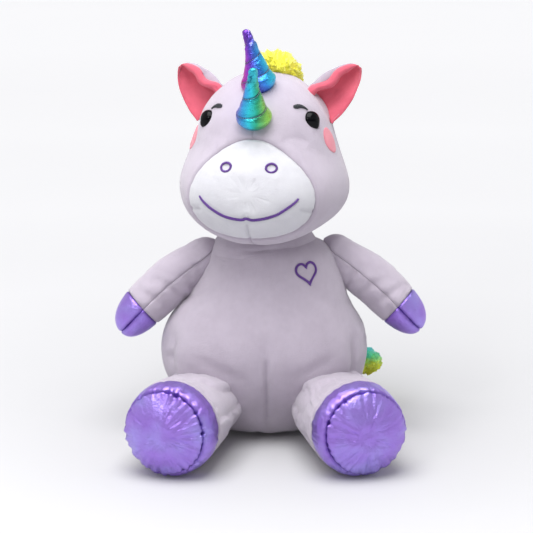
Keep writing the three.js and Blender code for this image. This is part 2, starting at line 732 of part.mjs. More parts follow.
/** A fur tail from the middle of the back, swept round to the toy's left. */
function buildTail() {
  const route = new THREE.CatmullRomCurve3([
    tailRoot.clone(),
    tailRoot.clone().add(new THREE.Vector3(24, 10, 3)),
    tailRoot.clone().add(new THREE.Vector3(66, 8, 0)),
    tailRoot.clone().add(new THREE.Vector3(118, -9, -6)),
  ]);
  const length = route.getLength();
  const at = (s) => {
    const t = THREE.MathUtils.clamp(s / length, 0, 1);
    const over = s < 0 ? s : 0;
    return route.getPointAt(t).addScaledVector(route.getTangentAt(0), over);
  };
  const radius = limbRadius(tailRootRadius, tailRadius, length * 0.45, length * 0.7, length);
  const along = new THREE.Vector3(1, 0, 0);
  const tail = loft({ at, along, radius, start: -tailRootRadius, end: length, columns: 10, rows: 12 });
  addPiece('tail', tail, fur);
}

buildTorso();
buildChestHeart();
buildNeck();
buildHeadCovers();
buildEyes();
buildFaceTrim();
buildHorns();
buildEars();
buildMane();
buildArms();
buildLegs();
buildTail();

export default unicorn;
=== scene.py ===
"""A seated plush unicorn, dressed in velour, foil cloth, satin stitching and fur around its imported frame.

Lengths are in metres. +Z is up, the chest faces -Y and the toy's own left is +X.
"""
import json
import logging
import math
from dataclasses import dataclass, field
from enum import Enum
from typing import Any, Callable, Iterable, Sequence

import bmesh
import bpy
import numpy as np
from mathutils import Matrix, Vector, kdtree, noise
from mathutils.bvhtree import BVHTree


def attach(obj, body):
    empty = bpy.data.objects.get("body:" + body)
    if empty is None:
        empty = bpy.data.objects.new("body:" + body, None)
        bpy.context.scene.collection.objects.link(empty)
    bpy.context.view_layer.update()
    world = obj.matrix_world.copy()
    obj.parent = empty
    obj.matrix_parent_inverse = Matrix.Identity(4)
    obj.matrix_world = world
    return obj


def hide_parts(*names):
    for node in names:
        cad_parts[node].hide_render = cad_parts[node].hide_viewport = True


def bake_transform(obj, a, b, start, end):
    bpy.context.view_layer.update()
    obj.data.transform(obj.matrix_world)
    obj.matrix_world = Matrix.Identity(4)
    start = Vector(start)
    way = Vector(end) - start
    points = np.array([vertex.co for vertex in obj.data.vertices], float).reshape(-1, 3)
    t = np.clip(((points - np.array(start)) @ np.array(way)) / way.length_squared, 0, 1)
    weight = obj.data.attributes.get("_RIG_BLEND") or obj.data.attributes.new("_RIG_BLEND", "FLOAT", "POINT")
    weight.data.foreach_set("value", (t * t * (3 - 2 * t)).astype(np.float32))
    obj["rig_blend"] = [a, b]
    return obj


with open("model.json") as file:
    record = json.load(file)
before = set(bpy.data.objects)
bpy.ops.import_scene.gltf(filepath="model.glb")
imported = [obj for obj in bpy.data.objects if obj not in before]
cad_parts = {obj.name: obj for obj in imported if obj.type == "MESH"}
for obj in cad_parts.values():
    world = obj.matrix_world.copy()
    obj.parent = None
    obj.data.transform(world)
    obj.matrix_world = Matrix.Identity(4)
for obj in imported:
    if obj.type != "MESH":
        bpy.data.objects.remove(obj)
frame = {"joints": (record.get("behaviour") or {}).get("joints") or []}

Array = np.ndarray
Colour = tuple[float, float, float]
LOG = logging.getLogger("unicorn")
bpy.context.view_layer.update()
JOINTS = {joint["name"]: joint for joint in frame["joints"]}
UP = np.array([0.0, 0.0, 1.0])


class Side(Enum):
    """The toy's own left or right, and the sign of X there."""

    LEFT = 1
    RIGHT = -1

    @property
    def word(self) -> str:
        """The side's name as the pieces use it."""
        return self.name.lower()


# ---------------------------------------------------------------- shapes


def unit(vectors: Array) -> Array:
    """Vectors scaled to length one."""
    return vectors / np.maximum(np.linalg.norm(vectors, axis=-1, keepdims=True), 1e-12)


def joint_point(name: str) -> Array:
    """The point that a joint turns about."""
    return np.array(JOINTS[name]["pos_m"], float)


def toward(round_angle: Array | float, rise: Array | float) -> Array:
    """Directions at an angle round from the front and an angle up, in degrees."""
    a, b = np.radians(round_angle), np.radians(rise)
    return np.stack([np.sin(a) * np.cos(b), -np.cos(a) * np.cos(b), np.sin(b) + 0 * a], axis=-1)


def ease(value: Array, low: float, high: float) -> Array:
    """A smooth step from 0 at low to 1 at high."""
    t = np.clip((value - low) / (high - low), 0, 1)
    return t * t * (3 - 2 * t)


def through(stops: Sequence[tuple[float, float]], value: Array) -> Array:
    """A smooth curve through a few stops, each a place and a height there.

    Args:
        stops: The stops in rising order.
        value: Where to read the curve.

    Returns:
        The curve's heights, eased between stops with slopes taken from their neighbours.
    """
    x = np.array([s[0] for s in stops], float)
    y = np.array([s[1] for s in stops], float)
    slope = np.gradient(y, x)
    value = np.clip(value, x[0], x[-1])
    i = np.clip(np.searchsorted(x, value, side="right") - 1, 0, len(x) - 2)
    step = x[i + 1] - x[i]
    t = (value - x[i]) / step
    start = (1 + 2 * t) * (1 - t) ** 2 * y[i] + t * (1 - t) ** 2 * step * slope[i]
    return start + t * t * (3 - 2 * t) * y[i + 1] + t * t * (t - 1) * step * slope[i + 1]


def spread(
    stops: Sequence[float], fine: float, coarse: float, growth: float = 1.4
) -> tuple[Array, list[int]]:
    """Places along a line that crowd together at its stops.

    Args:
        stops: The line's ends and the seams between them, in rising order.
        fine: The step beside a stop.
        coarse: The largest step.
        growth: How much each step away from a stop is larger than the one before.

    Returns:
        The places, and the index of each stop among them.
    """
    places, marks = [stops[0]], [0]
    for low, high in zip(stops, stops[1:]):
        half, steps, step = (high - low) / 2, [], fine
        while sum(steps) + step < half:
            steps.append(step)
            step = min(step * growth, coarse)
        scale = half / (sum(steps) + step / 2)
        run = np.cumsum(np.array(steps) * scale)
        places += list(low + run) + list(high - run[::-1]) + [high]
        marks.append(len(places) - 1)
    return np.array(places), marks


@dataclass(frozen=True)
class Lobe:
    """One ellipsoid of a blended shape."""

    centre: tuple[float, float, float]
    radii: tuple[float, float, float]

    def depth(self, points: Array) -> Array:
        """About how far outside the ellipsoid points are, below zero inside it.

        Args:
            points: The points to measure.

        Returns:
            A distance for each point, in metres.
        """
        q = (points - np.array(self.centre)) / np.array(self.radii)
        near = np.linalg.norm(q, axis=-1)
        slope = np.linalg.norm(q / np.array(self.radii), axis=-1)
        return near * (near - 1) / np.maximum(slope, 1e-9)


class Skin:
    """The skin of a soft blend of lobes, seen from a point inside it."""

    def __init__(self, lobes: Sequence[Lobe], softness: float, centre: Sequence[float]) -> None:
        """Keeps the lobes, how softly they join and the point the skin is seen from."""
        self.lobes = lobes
        self.softness = softness
        self.centre = np.array(centre, float)

    def depth(self, points: Array) -> Array:
        """About how far outside the skin points are, below zero inside it.

        Args:
            points: The points to measure.

        Returns:
            A distance for each point, in metres.
        """
        total = self.lobes[0].depth(points)
        for lobe in self.lobes[1:]:
            other = lobe.depth(points)
            mix = np.maximum(self.softness - np.abs(total - other), 0) / self.softness
            total = np.minimum(total, other) - mix * mix * self.softness / 4
        return total

    def normal(self, points: Array) -> Array:
        """Outward normals near the skin."""
        step = 0.0005
        offsets = np.eye(3) * step
        return unit(np.stack([self.depth(points + o) - self.depth(points - o) for o in offsets], axis=-1))

    def point(self, directions: Array, lift: Array | float = 0.0) -> Array:
        """The skin's points in some directions from the centre, lifted along the normal.

        Args:
            directions: The directions to look in.
            lift: How far off the skin to end up.

        Returns:
            A point for each direction.
        """
        d = unit(directions)
        near, far = np.zeros(d.shape[:-1]), np.full(d.shape[:-1], 0.3)
        for _ in range(32):
            middle = (near + far) / 2
            inside = self.depth(self.centre + d * middle[..., None]) < 0
            near, far = np.where(inside, middle, near), np.where(inside, far, middle)
        points = self.centre + d * near[..., None]
        return points + self.normal(points) * np.asarray(lift)[..., None]

    def wrap(self, direction: Array, turn: float, flat: Array) -> Array:
        """Sends flat points onto the skin round the spot in a direction.

        Args:
            direction: Where the flat origin lands, from the centre.
            turn: How far the flat pattern is turned, in degrees.
            flat: Points with X to the right, Y up and Z off the skin.

        Returns:
            The points on the skin.
        """
        spot = self.point(direction)
        out = self.normal(spot)
        right = unit(np.cross(UP, out))
        above = np.cross(out, right)
        a = math.radians(turn)
        x = flat[..., 0] * math.cos(a) - flat[..., 1] * math.sin(a)
        y = flat[..., 0] * math.sin(a) + flat[..., 1] * math.cos(a)
        ahead = spot + x[..., None] * right + y[..., None] * above
        return self.point(ahead - self.centre, flat[..., 2])


class Pressed(Skin):
    """A skin pressed flat on the floor, and flat under what sits on it."""

    def __init__(self, lobes: Sequence[Lobe], softness: float, centre: Sequence[float], top: float) -> None:
        """Keeps the shape and the height that its top is pressed down to."""
        super().__init__(lobes, softness, centre)
        self.top = top

    def depth(self, points: Array) -> Array:
        """About how far outside the skin points are, below zero inside it.

        Args:
            points: The points to measure.

        Returns:
            A distance for each point, in metres.
        """
        total = super().depth(points)
        for plane, soft in ((-points[..., 2], 0.009), (points[..., 2] - self.top, 0.016)):
            mix = np.maximum(soft - np.abs(total - plane), 0) / soft
            total = np.maximum(total, plane) + mix * mix * soft / 4
        return total


def open_curve(points: Array, per: int) -> Array:
    """A smooth curve through points, with some steps between each two.

    Args:
        points: The points, in order.
        per: How many steps to take between each two.

    Returns:
        The curve's points.
    """
    full = np.concatenate([2 * points[:1] - points[1:2], points, 2 * points[-1:] - points[-2:-1]])
    t = np.linspace(0, 1, per + 1)[:-1, None]
    parts = []
    for a, b, c, d in zip(full, full[1:], full[2:], full[3:]):
        parts.append(b + 0.5 * t * (c - a + t * (2 * a - 5 * b + 4 * c - d + t * (3 * (b - c) + d - a))))
    return np.concatenate([*parts, points[-1:]])


def closed_curve(points: Array, per: int) -> Array:
    """Smooth closed curves through points, one for each row, with some steps between each two.

    Args:
        points: The points, a row for each curve.
        per: How many steps to take between each two.

    Returns:
        The curves' points, a row for each curve.
    """
    t = (np.arange(per) / per)[None, None, :, None]
    a, b, c, d = (np.roll(points, k, axis=1)[:, :, None] for k in (1, 0, -1, -2))
    dense = b + 0.5 * t * (c - a + t * (2 * a - 5 * b + 4 * c - d + t * (3 * (b - c) + d - a)))
    return dense.reshape(points.shape[0], -1, points.shape[2])


@dataclass(frozen=True)
class Seam:
    """A sewn line on a form: the grid places it passes, and how it pulls the cloth."""

    rows: Array
    columns: Array
    groove: float = 0.0012
    width: float = 0.0013
    pucker: float = 0.0003
    reach: float = 0.006
    crowd: float = 260.0


def mesh_object(name: str, vertices: Array, faces: Iterable[Sequence[int]]) -> bpy.types.Object:
    """A new smooth-shaded mesh object in the scene.

    Args:
        name: Its name.
        vertices: Its vertices.
        faces: Its faces, as vertex numbers.

    Returns:
        The object.
    """
    mesh = bpy.data.meshes.new(name)
    mesh.from_pydata(np.asarray(vertices).tolist(), [], [list(map(int, f)) for f in faces])
    mesh.shade_smooth()
    made = bpy.data.objects.new(name, mesh)
    bpy.context.scene.collection.objects.link(made)
    return made


def remove(piece: bpy.types.Object) -> None:
    """Takes a working object out of the file."""
    bpy.data.objects.remove(piece, do_unlink=True)


class Form:
    """A stuffed cloth form on a grid: rows run from one end to the other and columns run round it."""

    def __init__(self, points: Array, panels: Array, seams: Sequence[Seam] = (), poles: bool = True) -> None:
        """Joins the grid into one closed mesh.

        Args:
            points: The grid, as rows by columns by three.
            panels: The panel number of each face, as rows less one by columns.
            seams: The sewn lines.
            poles: Whether the first and last rows are single points.
        """
        rows, columns = points.shape[:2]
        self.number = np.arange(rows * columns).reshape(rows, columns)
        if poles:
            self.number[0, :] = self.number[0, 0]
            self.number[-1, :] = self.number[-1, 0]
        self.vertices = points.reshape(-1, 3).copy()
        self.seams = seams
        self.near = np.zeros(len(self.vertices))
        self.faces: list[list[int]] = []
        self.face_panels: list[int] = []
        after = np.roll(self.number, -1, axis=1)
        for r in range(rows - 1):
            for c in range(columns):
                corners = [self.number[r, c], after[r, c], after[r + 1, c], self.number[r + 1, c]]
                self.faces.append(list(dict.fromkeys(int(v) for v in corners)))
                self.face_panels.append(int(panels[r, c]))
        self.normals = self._normals()
        if np.sum(self.normals * (self.vertices - self.vertices.mean(0))) < 0:
            self.faces = [f[::-1] for f in self.faces]
            self.normals = -self.normals
        self.smooth, self.smooth_normals = self.vertices.copy(), self.normals.copy()

    def _normals(self) -> Array:
        """The normal at each vertex.

        Returns:
            A unit normal for each vertex.
        """
        total = np.zeros_like(self.vertices)
        for size in (3, 4):
            faces = np.array([f for f in self.faces if len(f) == size])
            if len(faces):
                corner = self.vertices[faces]
                area = np.cross(corner[:, 2] - corner[:, 0], corner[:, -1] - corner[:, 1])
                if size == 3:
                    area = np.cross(corner[:, 1] - corner[:, 0], corner[:, 2] - corner[:, 0])
                for i in range(size):
                    np.add.at(total, faces[:, i], area)
        return unit(total)

    def move(self, offsets: Array) -> None:
        """Moves each vertex off the cloth along its normal."""
        self.vertices += self.normals * offsets[:, None]
        self.normals = self._normals()

    def sew(self) -> None:
        """Pulls the cloth in along each seam and gathers it into small folds that run across the seam."""
        total = np.zeros(len(self.vertices))
        for seam in self.seams:
            line = self.vertices[self.number[seam.rows, seam.columns]]
            dense = np.concatenate(
                [line[:-1] + (line[1:] - line[:-1]) * t for t in np.linspace(0, 1, 9)[:-1]]
            )
            tree = kdtree.KDTree(len(dense))
            for i, p in enumerate(dense):
                tree.insert(p, i)
            tree.balance()
            limit = max(seam.reach * 4, seam.width * 3)
            for i, p in enumerate(self.vertices):
                near, _, distance = tree.find(p)
                if distance < limit:
                    fold = noise.noise(near * seam.crowd) + 0.5 * noise.noise(near * seam.crowd * 2.3)
                    total[i] -= seam.groove * math.exp(-((distance / seam.width) ** 2))
                    total[i] += seam.pucker * fold * math.exp(-distance / seam.reach)
                    # Nearness to the seam, which the materials paint as shade.
                    self.near[i] = max(self.near[i], math.exp(-((distance / 0.0022) ** 2)))
        self.move(total)

    def dent(self, depth: float, scale: float, seed: int) -> None:
        """Moves the cloth in and out in soft, broad patches."""
        off = Vector((seed * 7.3, seed * 3.1, 0))
        self.move(np.array([noise.noise(Vector(p) * scale + off) for p in self.vertices]) * depth)

    def fold(self, lines: Sequence[tuple[Array, float, float]]) -> None:
        """Presses creases into the cloth.

        Args:
            lines: Each crease's points, its depth and its width.
        """
        total = np.zeros(len(self.vertices))
        for line, depth, width in lines:
            dense = open_curve(line, 6)
            tree = kdtree.KDTree(len(dense))
            for i, p in enumerate(dense):
                tree.insert(p, i)
            tree.balance()
            for i, p in enumerate(self.vertices):
                _, at, distance = tree.find(p)
                if distance < width * 4:
                    share = at / (len(dense) - 1)
                    fade = math.sin(math.pi * min(max(share, 0.04), 0.96)) if len(line) > 2 else 1.0
                    near = (distance / width) ** 2
                    total[i] += depth * fade * (
                        0.45 * math.exp(-((distance / width - 1.8) ** 2)) - math.exp(-near)
                    )
        self.move(total)

    def rest(self, height: float) -> None:
        """Flattens whatever has sunk below a height off the floor."""
        self.vertices[:, 2] = np.maximum(self.vertices[:, 2], height)

    def tag(self, piece: bpy.types.Object, marks: Array) -> None:
        """Stores how close each point of a piece cut whole from the form is to a seam.

        Args:
            piece: The piece.
            marks: How close each of the form's vertices is to a seam.
        """
        layer = piece.data.attributes.get("seam") or piece.data.attributes.new("seam", "FLOAT", "POINT")
        used = sorted({v for f in self.faces for v in f})
        values = np.zeros(len(piece.data.vertices))
        values[:len(used)] = marks[used]
        layer.data.foreach_set("value", values.astype(np.float32))

    def puff(self, growth: float, pressure: float, cap: float, frames: int = 18, bend: float = 0.05) -> None:
        """Blows the cloth up between its seams by cloth simulation.

        Args:
            growth: How much larger the cloth is cut than the form, as a share.
            pressure: The air pressure inside.
            cap: The furthest that a point may move.
            frames: How many frames to run.
            bend: The cloth's bending stiffness.
        """
        used = sorted({v for f in self.faces for v in f})
        place = {v: i for i, v in enumerate(used)}
        start = self.vertices[used]
        body = mesh_object("puff", start, [[place[v] for v in f] for f in self.faces])
        pins = body.vertex_groups.new(name="seams")
        held = {
            place[v] for s in self.seams for v in self.number[s.rows, s.columns].ravel().tolist()
            if v in place
        }
        pins.add(sorted(held), 1.0, "REPLACE")
        cloth = body.modifiers.new("cloth", "CLOTH")
        settings = cloth.settings
        settings.vertex_group_mass = pins.name
        settings.quality = 5
        settings.mass = 0.15
        settings.tension_stiffness = settings.compression_stiffness = 12
        settings.shear_stiffness = 4
        settings.bending_stiffness = bend
        settings.air_damping = 2
        settings.use_pressure = True
        settings.uniform_pressure_force = pressure
        settings.shrink_min = -growth
        settings.effector_weights.gravity = 0
        cloth.point_cache.frame_start, cloth.point_cache.frame_end = 1, frames
        scene = bpy.context.scene
        for number in range(1, frames + 1):
            scene.frame_set(number)
        moved = body.evaluated_get(bpy.context.evaluated_depsgraph_get())
        result = np.zeros(len(used) * 3)
        moved.data.vertices.foreach_get("co", result)
        shift = result.reshape(-1, 3) - start
        length = np.linalg.norm(shift, axis=1, keepdims=True)
        shift = np.nan_to_num(shift * np.minimum(1, cap / np.maximum(length, 1e-9)))
        full = np.zeros_like(self.vertices)
        full[used] = shift
        self._calm(full, 0)
        self._calm(full, -1)
        self.vertices += full
        remove(body)
        scene.frame_set(1)
        self.normals = self._normals()

    def _calm(self, shift: Array, end: int, radius: float = 0.011) -> None:
        """Evens out how the cloth moved round one end of the grid, where its faces crowd together.

        Args:
            shift: How far each vertex moved, changed in place.
            end: The row of the grid at that end.
            radius: How far from the end this reaches.
        """
        tip = self.vertices[self.number[end]].mean(0)
        away = np.linalg.norm(self.vertices[self.number] - tip, axis=2).mean(1)
        inside = np.where(away < radius)[0]
        if len(inside) == 0 or len(inside) == len(away):
            return
        level = shift[self.number[inside[-1] if end == 0 else inside[0]]].mean(0)
        for row in inside:
            own = float(ease(np.array(away[row]), radius * 0.35, radius))
            ids = np.unique(self.number[row])
            shift[ids] = shift[ids] * own + level * (1 - own)

    def cut(self, name: str, panel: int, lip: float = 0.0022, wall: float = 0.0009) -> bpy.types.Object:
        """One panel of the form as its own piece, with its edges turned in and a wall of its own.

        Args:
            name: The piece's name.
            panel: The panel's number.
            lip: How deep the seam allowance turns in.
            wall: The cloth's thickness.

        Returns:
            The new piece.
        """
        faces = [f for f, p in zip(self.faces, self.face_panels) if p == panel]
        used = sorted({v for f in faces for v in f})
        place = {v: i for i, v in enumerate(used)}
        piece = mesh_object(name, self.vertices[used], [[place[v] for v in f] for f in faces])
        # How near each point is to a seam; the materials paint shade there.
        layer = piece.data.attributes.new("seam", "FLOAT", "POINT")
        layer.data.foreach_set("value", self.near[used].astype(np.float32))
        body = bmesh.new()
        body.from_mesh(piece.data)
        rim = [e for e in body.edges if e.is_boundary]
        inward = {v: -Vector(self.normals[used[v.index]]) * lip for e in rim for v in e.verts}
        if rim:
            turned = bmesh.ops.extrude_edge_only(body, edges=rim)["geom"]
            near = {tuple(round(c, 7) for c in v.co): way for v, way in inward.items()}
            for v in (g for g in turned if isinstance(g, bmesh.types.BMVert)):
                v.co += near[tuple(round(c, 7) for c in v.co)]
        body.to_mesh(piece.data)
        body.free()
        piece.data.shade_smooth()
        shell = piece.modifiers.new("wall", "SOLIDIFY")
        shell.thickness = wall
        shell.offset = -1
        return piece

    def core(self, name: str, depth: float) -> bpy.types.Object:
        """The filling inside the form: every other grid point, set in from the cloth.

        Args:
            name: The filling's name.
            depth: How far inside the cloth it lies.

        Returns:
            The filling.
        """
        inner = self.number[::2, ::2]
        if inner[-1, 0] != self.number[-1, 0]:
            inner = np.vstack([inner, self.number[-1:, ::2]])
        used = sorted(set(inner.ravel().tolist()))
        place = {v: i for i, v in enumerate(used)}
        after = np.roll(inner, -1, axis=1)
        faces = []
        for r in range(inner.shape[0] - 1):
            for c in range(inner.shape[1]):
                corners = [inner[r, c], after[r, c], after[r + 1, c], inner[r + 1, c]]
                faces.append([place[v] for v in dict.fromkeys(int(v) for v in corners)])
        piece = mesh_object(name, (self.smooth - self.smooth_normals * depth)[used], faces)
        face_out(piece)
        return piece

    def tree(self) -> BVHTree:
        """The form's surface, ready to have points set down on it."""
        return BVHTree.FromPolygons(self.vertices.tolist(), self.faces)


def face_out(piece: bpy.types.Object) -> None:
    """Turns a closed mesh's faces to point outwards.

    Args:
        piece: The closed piece, changed in place.
    """
    body = bmesh.new()
    body.from_mesh(piece.data)
    bmesh.ops.recalc_face_normals(body, faces=body.faces)
    body.to_mesh(piece.data)
    body.free()


def land(tree: BVHTree, origin: Array, points: Array, lift: Array | float) -> Array:
    """Sets points down on a surface, along lines from a point inside it.

    Args:
        tree: The surface.
        origin: The point inside.
        points: Points near the surface.
        lift: How far off the surface each ends up.

    Returns:
        The points on the surface.
    """
    start = Vector(origin)
    flat = points.reshape(-1, 3)
    lifts = np.broadcast_to(np.asarray(lift, float), points.shape[:-1]).ravel()
    landed = []
    for point, off in zip(flat, lifts):
        way = (Vector(point) - start).normalized()
        hit = tree.ray_cast(start, way)[0]
        landed.append((hit if hit is not None else Vector(point)) + way * off)
    return np.array(landed).reshape(points.shape)


# ---------------------------------------------------------------- finishes


class Wire:
    """A number that a material works out; arithmetic on it adds Math nodes."""

    def __init__(self, look: "Look", socket: bpy.types.NodeSocket) -> None:
        """Keeps the material and the socket that gives the number."""
        self.look = look
        self.socket = socket

    def _math(self, operation: str, *values: Any) -> "Wire":
        """A Math node on some values."""
        made = self.look.node("ShaderNodeMath", {"operation": operation}, dict(enumerate(values)))
        return Wire(self.look, made.outputs[0])

    def __add__(self, other: Any) -> "Wire":
        """This plus a value."""
        return self._math("ADD", self, other)

    def __radd__(self, other: Any) -> "Wire":
        """A value plus this."""
        return self._math("ADD", other, self)

    def __sub__(self, other: Any) -> "Wire":
        """This less a value."""
        return self._math("SUBTRACT", self, other)

    def __rsub__(self, other: Any) -> "Wire":
        """A value less this."""
        return self._math("SUBTRACT", other, self)

    def __mul__(self, other: Any) -> "Wire":
        """This times a value."""
        return self._math("MULTIPLY", self, other)

    def __rmul__(self, other: Any) -> "Wire":
        """A value times this."""
        return self._math("MULTIPLY", other, self)

    def clamp(self) -> "Wire":
        """This kept from 0 to 1."""
        made = self.look.node("ShaderNodeClamp", {}, {0: self})
        return Wire(self.look, made.outputs[0])

    def step(self, low: float, high: float) -> "Wire":
        """A smooth step from 0 at low to 1 at high."""
        settings = {"interpolation_type": "SMOOTHSTEP"}
        made = self.look.node("ShaderNodeMapRange", settings, {0: self, 1: low, 2: high})
        return Wire(self.look, made.outputs[0])


class Look:
    """A material being made, with its nodes."""

    def __init__(self, name: str) -> None:
        """Starts a material with only a Principled shader.

        Args:
            name: The material's name.
        """
        self.material = bpy.data.materials.new(name)
        self.material.use_nodes = True
        self.tree = self.material.node_tree
        self.tree.nodes.clear()
        self.surface = self.node("ShaderNodeBsdfPrincipled")
        self.node("ShaderNodeOutputMaterial", {}, {"Surface": self.surface.outputs[0]})
        self.place = self.node("ShaderNodeTexCoord").outputs["Object"]

    def node(
        self, kind: str, settings: dict[str, Any] | None = None, inputs: dict | None = None
    ) -> bpy.types.Node:
        """Adds a node.

        Args:
            kind: The node's type.
            settings: Its properties, or the stops of its ramp, which are set first.
            inputs: Values, sockets or wires by socket name or number.

        Returns:
            The node.
        """
        made = self.tree.nodes.new(kind)
        for key, value in (settings or {}).items():
            if key == "stops":
                ramp = made.color_ramp
                while len(ramp.elements) < len(value):
                    ramp.elements.new(0.5)
                for element, (place, colour) in zip(ramp.elements, value):
                    element.position = place
                    element.color = (*colour, 1)
            else:
                setattr(made, key, value)
        for key, value in (inputs or {}).items():
            self.feed(made.inputs[key], value)
        return made

    def feed(self, socket: bpy.types.NodeSocket, value: Any) -> None:
        """Links or sets a socket.

        Args:
            socket: The socket.
            value: A wire, a socket, a colour or a number.
        """
        if isinstance(value, Wire):
            value = value.socket
        if isinstance(value, bpy.types.NodeSocket):
            self.tree.links.new(value, socket)
        elif isinstance(value, tuple) and socket.type == "RGBA":
            socket.default_value = (*value, 1)
        else:
            socket.default_value = value

    def set(self, **inputs: Any) -> None:
        """Sets the shader's sockets; an underscore stands for a space."""
        for key, value in inputs.items():
            self.feed(self.surface.inputs[key.replace("_", " ")], value)

    def noise(self, scale: float, detail: float = 2, roughness: float = 0.5, stretch: Any = None) -> Wire:
        """Soft noise from 0 to 1, in cells per metre.

        Args:
            scale: How many cells to a metre.
            detail: How many finer layers to add.
            roughness: How strong the finer layers are.
            stretch: How much to stretch the cells along each axis, if at all.

        Returns:
            The noise.
        """
        vector = self.place
        if stretch is not None:
            mapped = self.node("ShaderNodeVectorMath", {"operation": "MULTIPLY"}, {0: self.place, 1: stretch})
            vector = mapped.outputs[0]
        inputs = {"Vector": vector, "Scale": scale, "Detail": detail, "Roughness": roughness}
        return Wire(self, self.node("ShaderNodeTexNoise", {}, inputs).outputs[0])

    def cells(self, scale: float) -> Wire:
        """The distance to the nearest of scattered points."""
        made = self.node("ShaderNodeTexVoronoi", {}, {"Vector": self.place, "Scale": scale})
        return Wire(self, made.outputs["Distance"])

    def mark(self, name: str) -> Wire:
        """A number stored on the piece."""
        return Wire(self, self.node("ShaderNodeAttribute", {"attribute_name": name}).outputs["Fac"])

    def along(self, origin: Sequence[float], way: Sequence[float]) -> Wire:
        """How far the surface is from a point, along a direction."""
        moved = self.node(
            "ShaderNodeVectorMath", {"operation": "SUBTRACT"}, {0: self.place, 1: tuple(origin)}
        )
        made = self.node(
            "ShaderNodeVectorMath", {"operation": "DOT_PRODUCT"}, {0: moved.outputs[0], 1: tuple(way)}
        )
        return Wire(self, made.outputs["Value"])

    def mix(self, first: Any, second: Any, factor: Wire) -> bpy.types.NodeSocket:
        """A colour between two colours."""
        made = self.node("ShaderNodeMix", {"data_type": "RGBA"}, {0: factor, 6: first, 7: second})
        return made.outputs[2]

    def ramp(self, value: Wire, stops: Sequence[tuple[float, Colour]]) -> bpy.types.NodeSocket:
        """A colour through several stops."""
        made = self.node("ShaderNodeValToRGB", {"stops": stops}, {0: value})
        return made.outputs[0]

    def bump(self, height: Wire, distance: float, strength: float = 1.0) -> None:
        """Raises the surface by a height, in metres."""
        made = self.node("ShaderNodeBump", {}, {"Strength": strength, "Distance": distance, "Height": height})
        self.set(Normal=made.outputs[0])


@dataclass(frozen=True)
class Plush:
    """Short-pile cloth: brushed patches, fine fibre tips, a sheen and painted shade along its seams."""

    name: str
    colour: Colour
    shade: Colour
    sheen: float = 0.45
    pile: float = 0.00045

    def make(self) -> bpy.types.Material:
        """The material.

        Returns:
            The material.
        """
        look = Look(self.name)
        brushed = look.noise(42, 3, 0.6)
        patch = look.noise(170, 2, 0.55)
        fibre = look.noise(2600, 2, 0.7)
        # How near each point is to a seam; it paints shade along the seams.
        seam_shade = look.mark("seam")
        # The darker tone: random pile patches and fibre, plus painted shade along the seams.
        deep = (brushed.step(0.30, 0.75) * 0.30 + patch * 0.16 + fibre * 0.22 + seam_shade * 0.30).clamp()
        look.set(Base_Color=look.mix(self.colour, self.shade, deep))
        look.set(Roughness=0.80 + 0.14 * fibre, Sheen_Weight=self.sheen, Sheen_Roughness=0.45)
        look.set(Sheen_Tint=(1.0, 1.0, 1.0), Specular_IOR_Level=0.25)
        look.bump(fibre * 0.7 + look.cells(1500) * 0.5 + patch * 0.9, self.pile)
        return look.material


@dataclass(frozen=True)
class Foil:
    """Coated cloth with a metal film: a knitted ground, crinkles, worn, paler ridges and painted shade along
    its seams.
    """

    name: str
    colour: Colour
    pale: Colour
    dark: Colour
    roughness: float = 0.27

    def make(self) -> bpy.types.Material:
        """The material.

        Returns:
            The material.
        """
        look = Look(self.name)
        crinkle = look.noise(190, 4, 0.62)
        cloud = look.noise(38, 2, 0.5)
        knit = look.cells(1900)
        seam_shade = look.mark("seam")
        tone = look.mix(self.colour, self.pale, (cloud.step(0.35, 0.8) * 0.55).clamp())
        # Darker towards the dark colour: painted shade along the seams, and where the crinkle noise is high.
        look.set(
            Base_Color=look.mix(tone, self.dark, (seam_shade * 0.55 + crinkle.step(0.55, 0.85) * 0.25).clamp())
        )
        look.set(Metallic=0.90, Roughness=self.roughness + 0.10 * crinkle + 0.08 * seam_shade)
        look.set(Specular_IOR_Level=0.5)
        look.bump(crinkle * 1.0 + knit * 0.12, 0.0011)
        return look.material


@dataclass(frozen=True)
class Rainbow:
    """Foil cloth whose colour runs across the horn, and towards one colour at the tip, with painted shade in
    the groove under its thread.
    """

    name: str
    root: tuple[float, float, float]
    across: tuple[float, float, float]
    lean: tuple[float, float, float]
    stops: tuple[tuple[float, Colour], ...]
    tip: Colour

    def make(self) -> bpy.types.Material:
        """The material.

        Returns:
            The material.
        """
        look = Look(self.name)
        crinkle = look.noise(260, 4, 0.6)
        knit = look.cells(2100)
        side = look.along(self.root, self.across)
        height = look.along(self.root, self.lean)
        width = 0.0165 - 0.24 * height
        reach = look.node("ShaderNodeMath", {"operation": "DIVIDE"}, {0: side, 1: width}).outputs[0]
        wander = look.noise(60, 2, 0.5) - 0.5
        place = (Wire(look, reach) * 0.5 + 0.5 + wander * 0.35 + height * 2.0).clamp()
        band = look.ramp(place, self.stops)
        seam_shade = look.mark("seam")
        tone = look.mix(band, self.tip, (height.step(0.026, 0.044) * 0.85).clamp())
        # Near-black mixed in as painted shade in the groove under the thread, and where the crinkle noise is
        # high.
        look.set(
            Base_Color=look.mix(
                tone, (0.02, 0.03, 0.08), (seam_shade * 0.45 + crinkle.step(0.6, 0.9) * 0.2).clamp(),
            ),
        )
        look.set(Metallic=0.92, Roughness=0.20 + 0.12 * crinkle, Specular_IOR_Level=0.5)
        look.bump(crinkle + knit * 0.1, 0.0008)
        return look.material


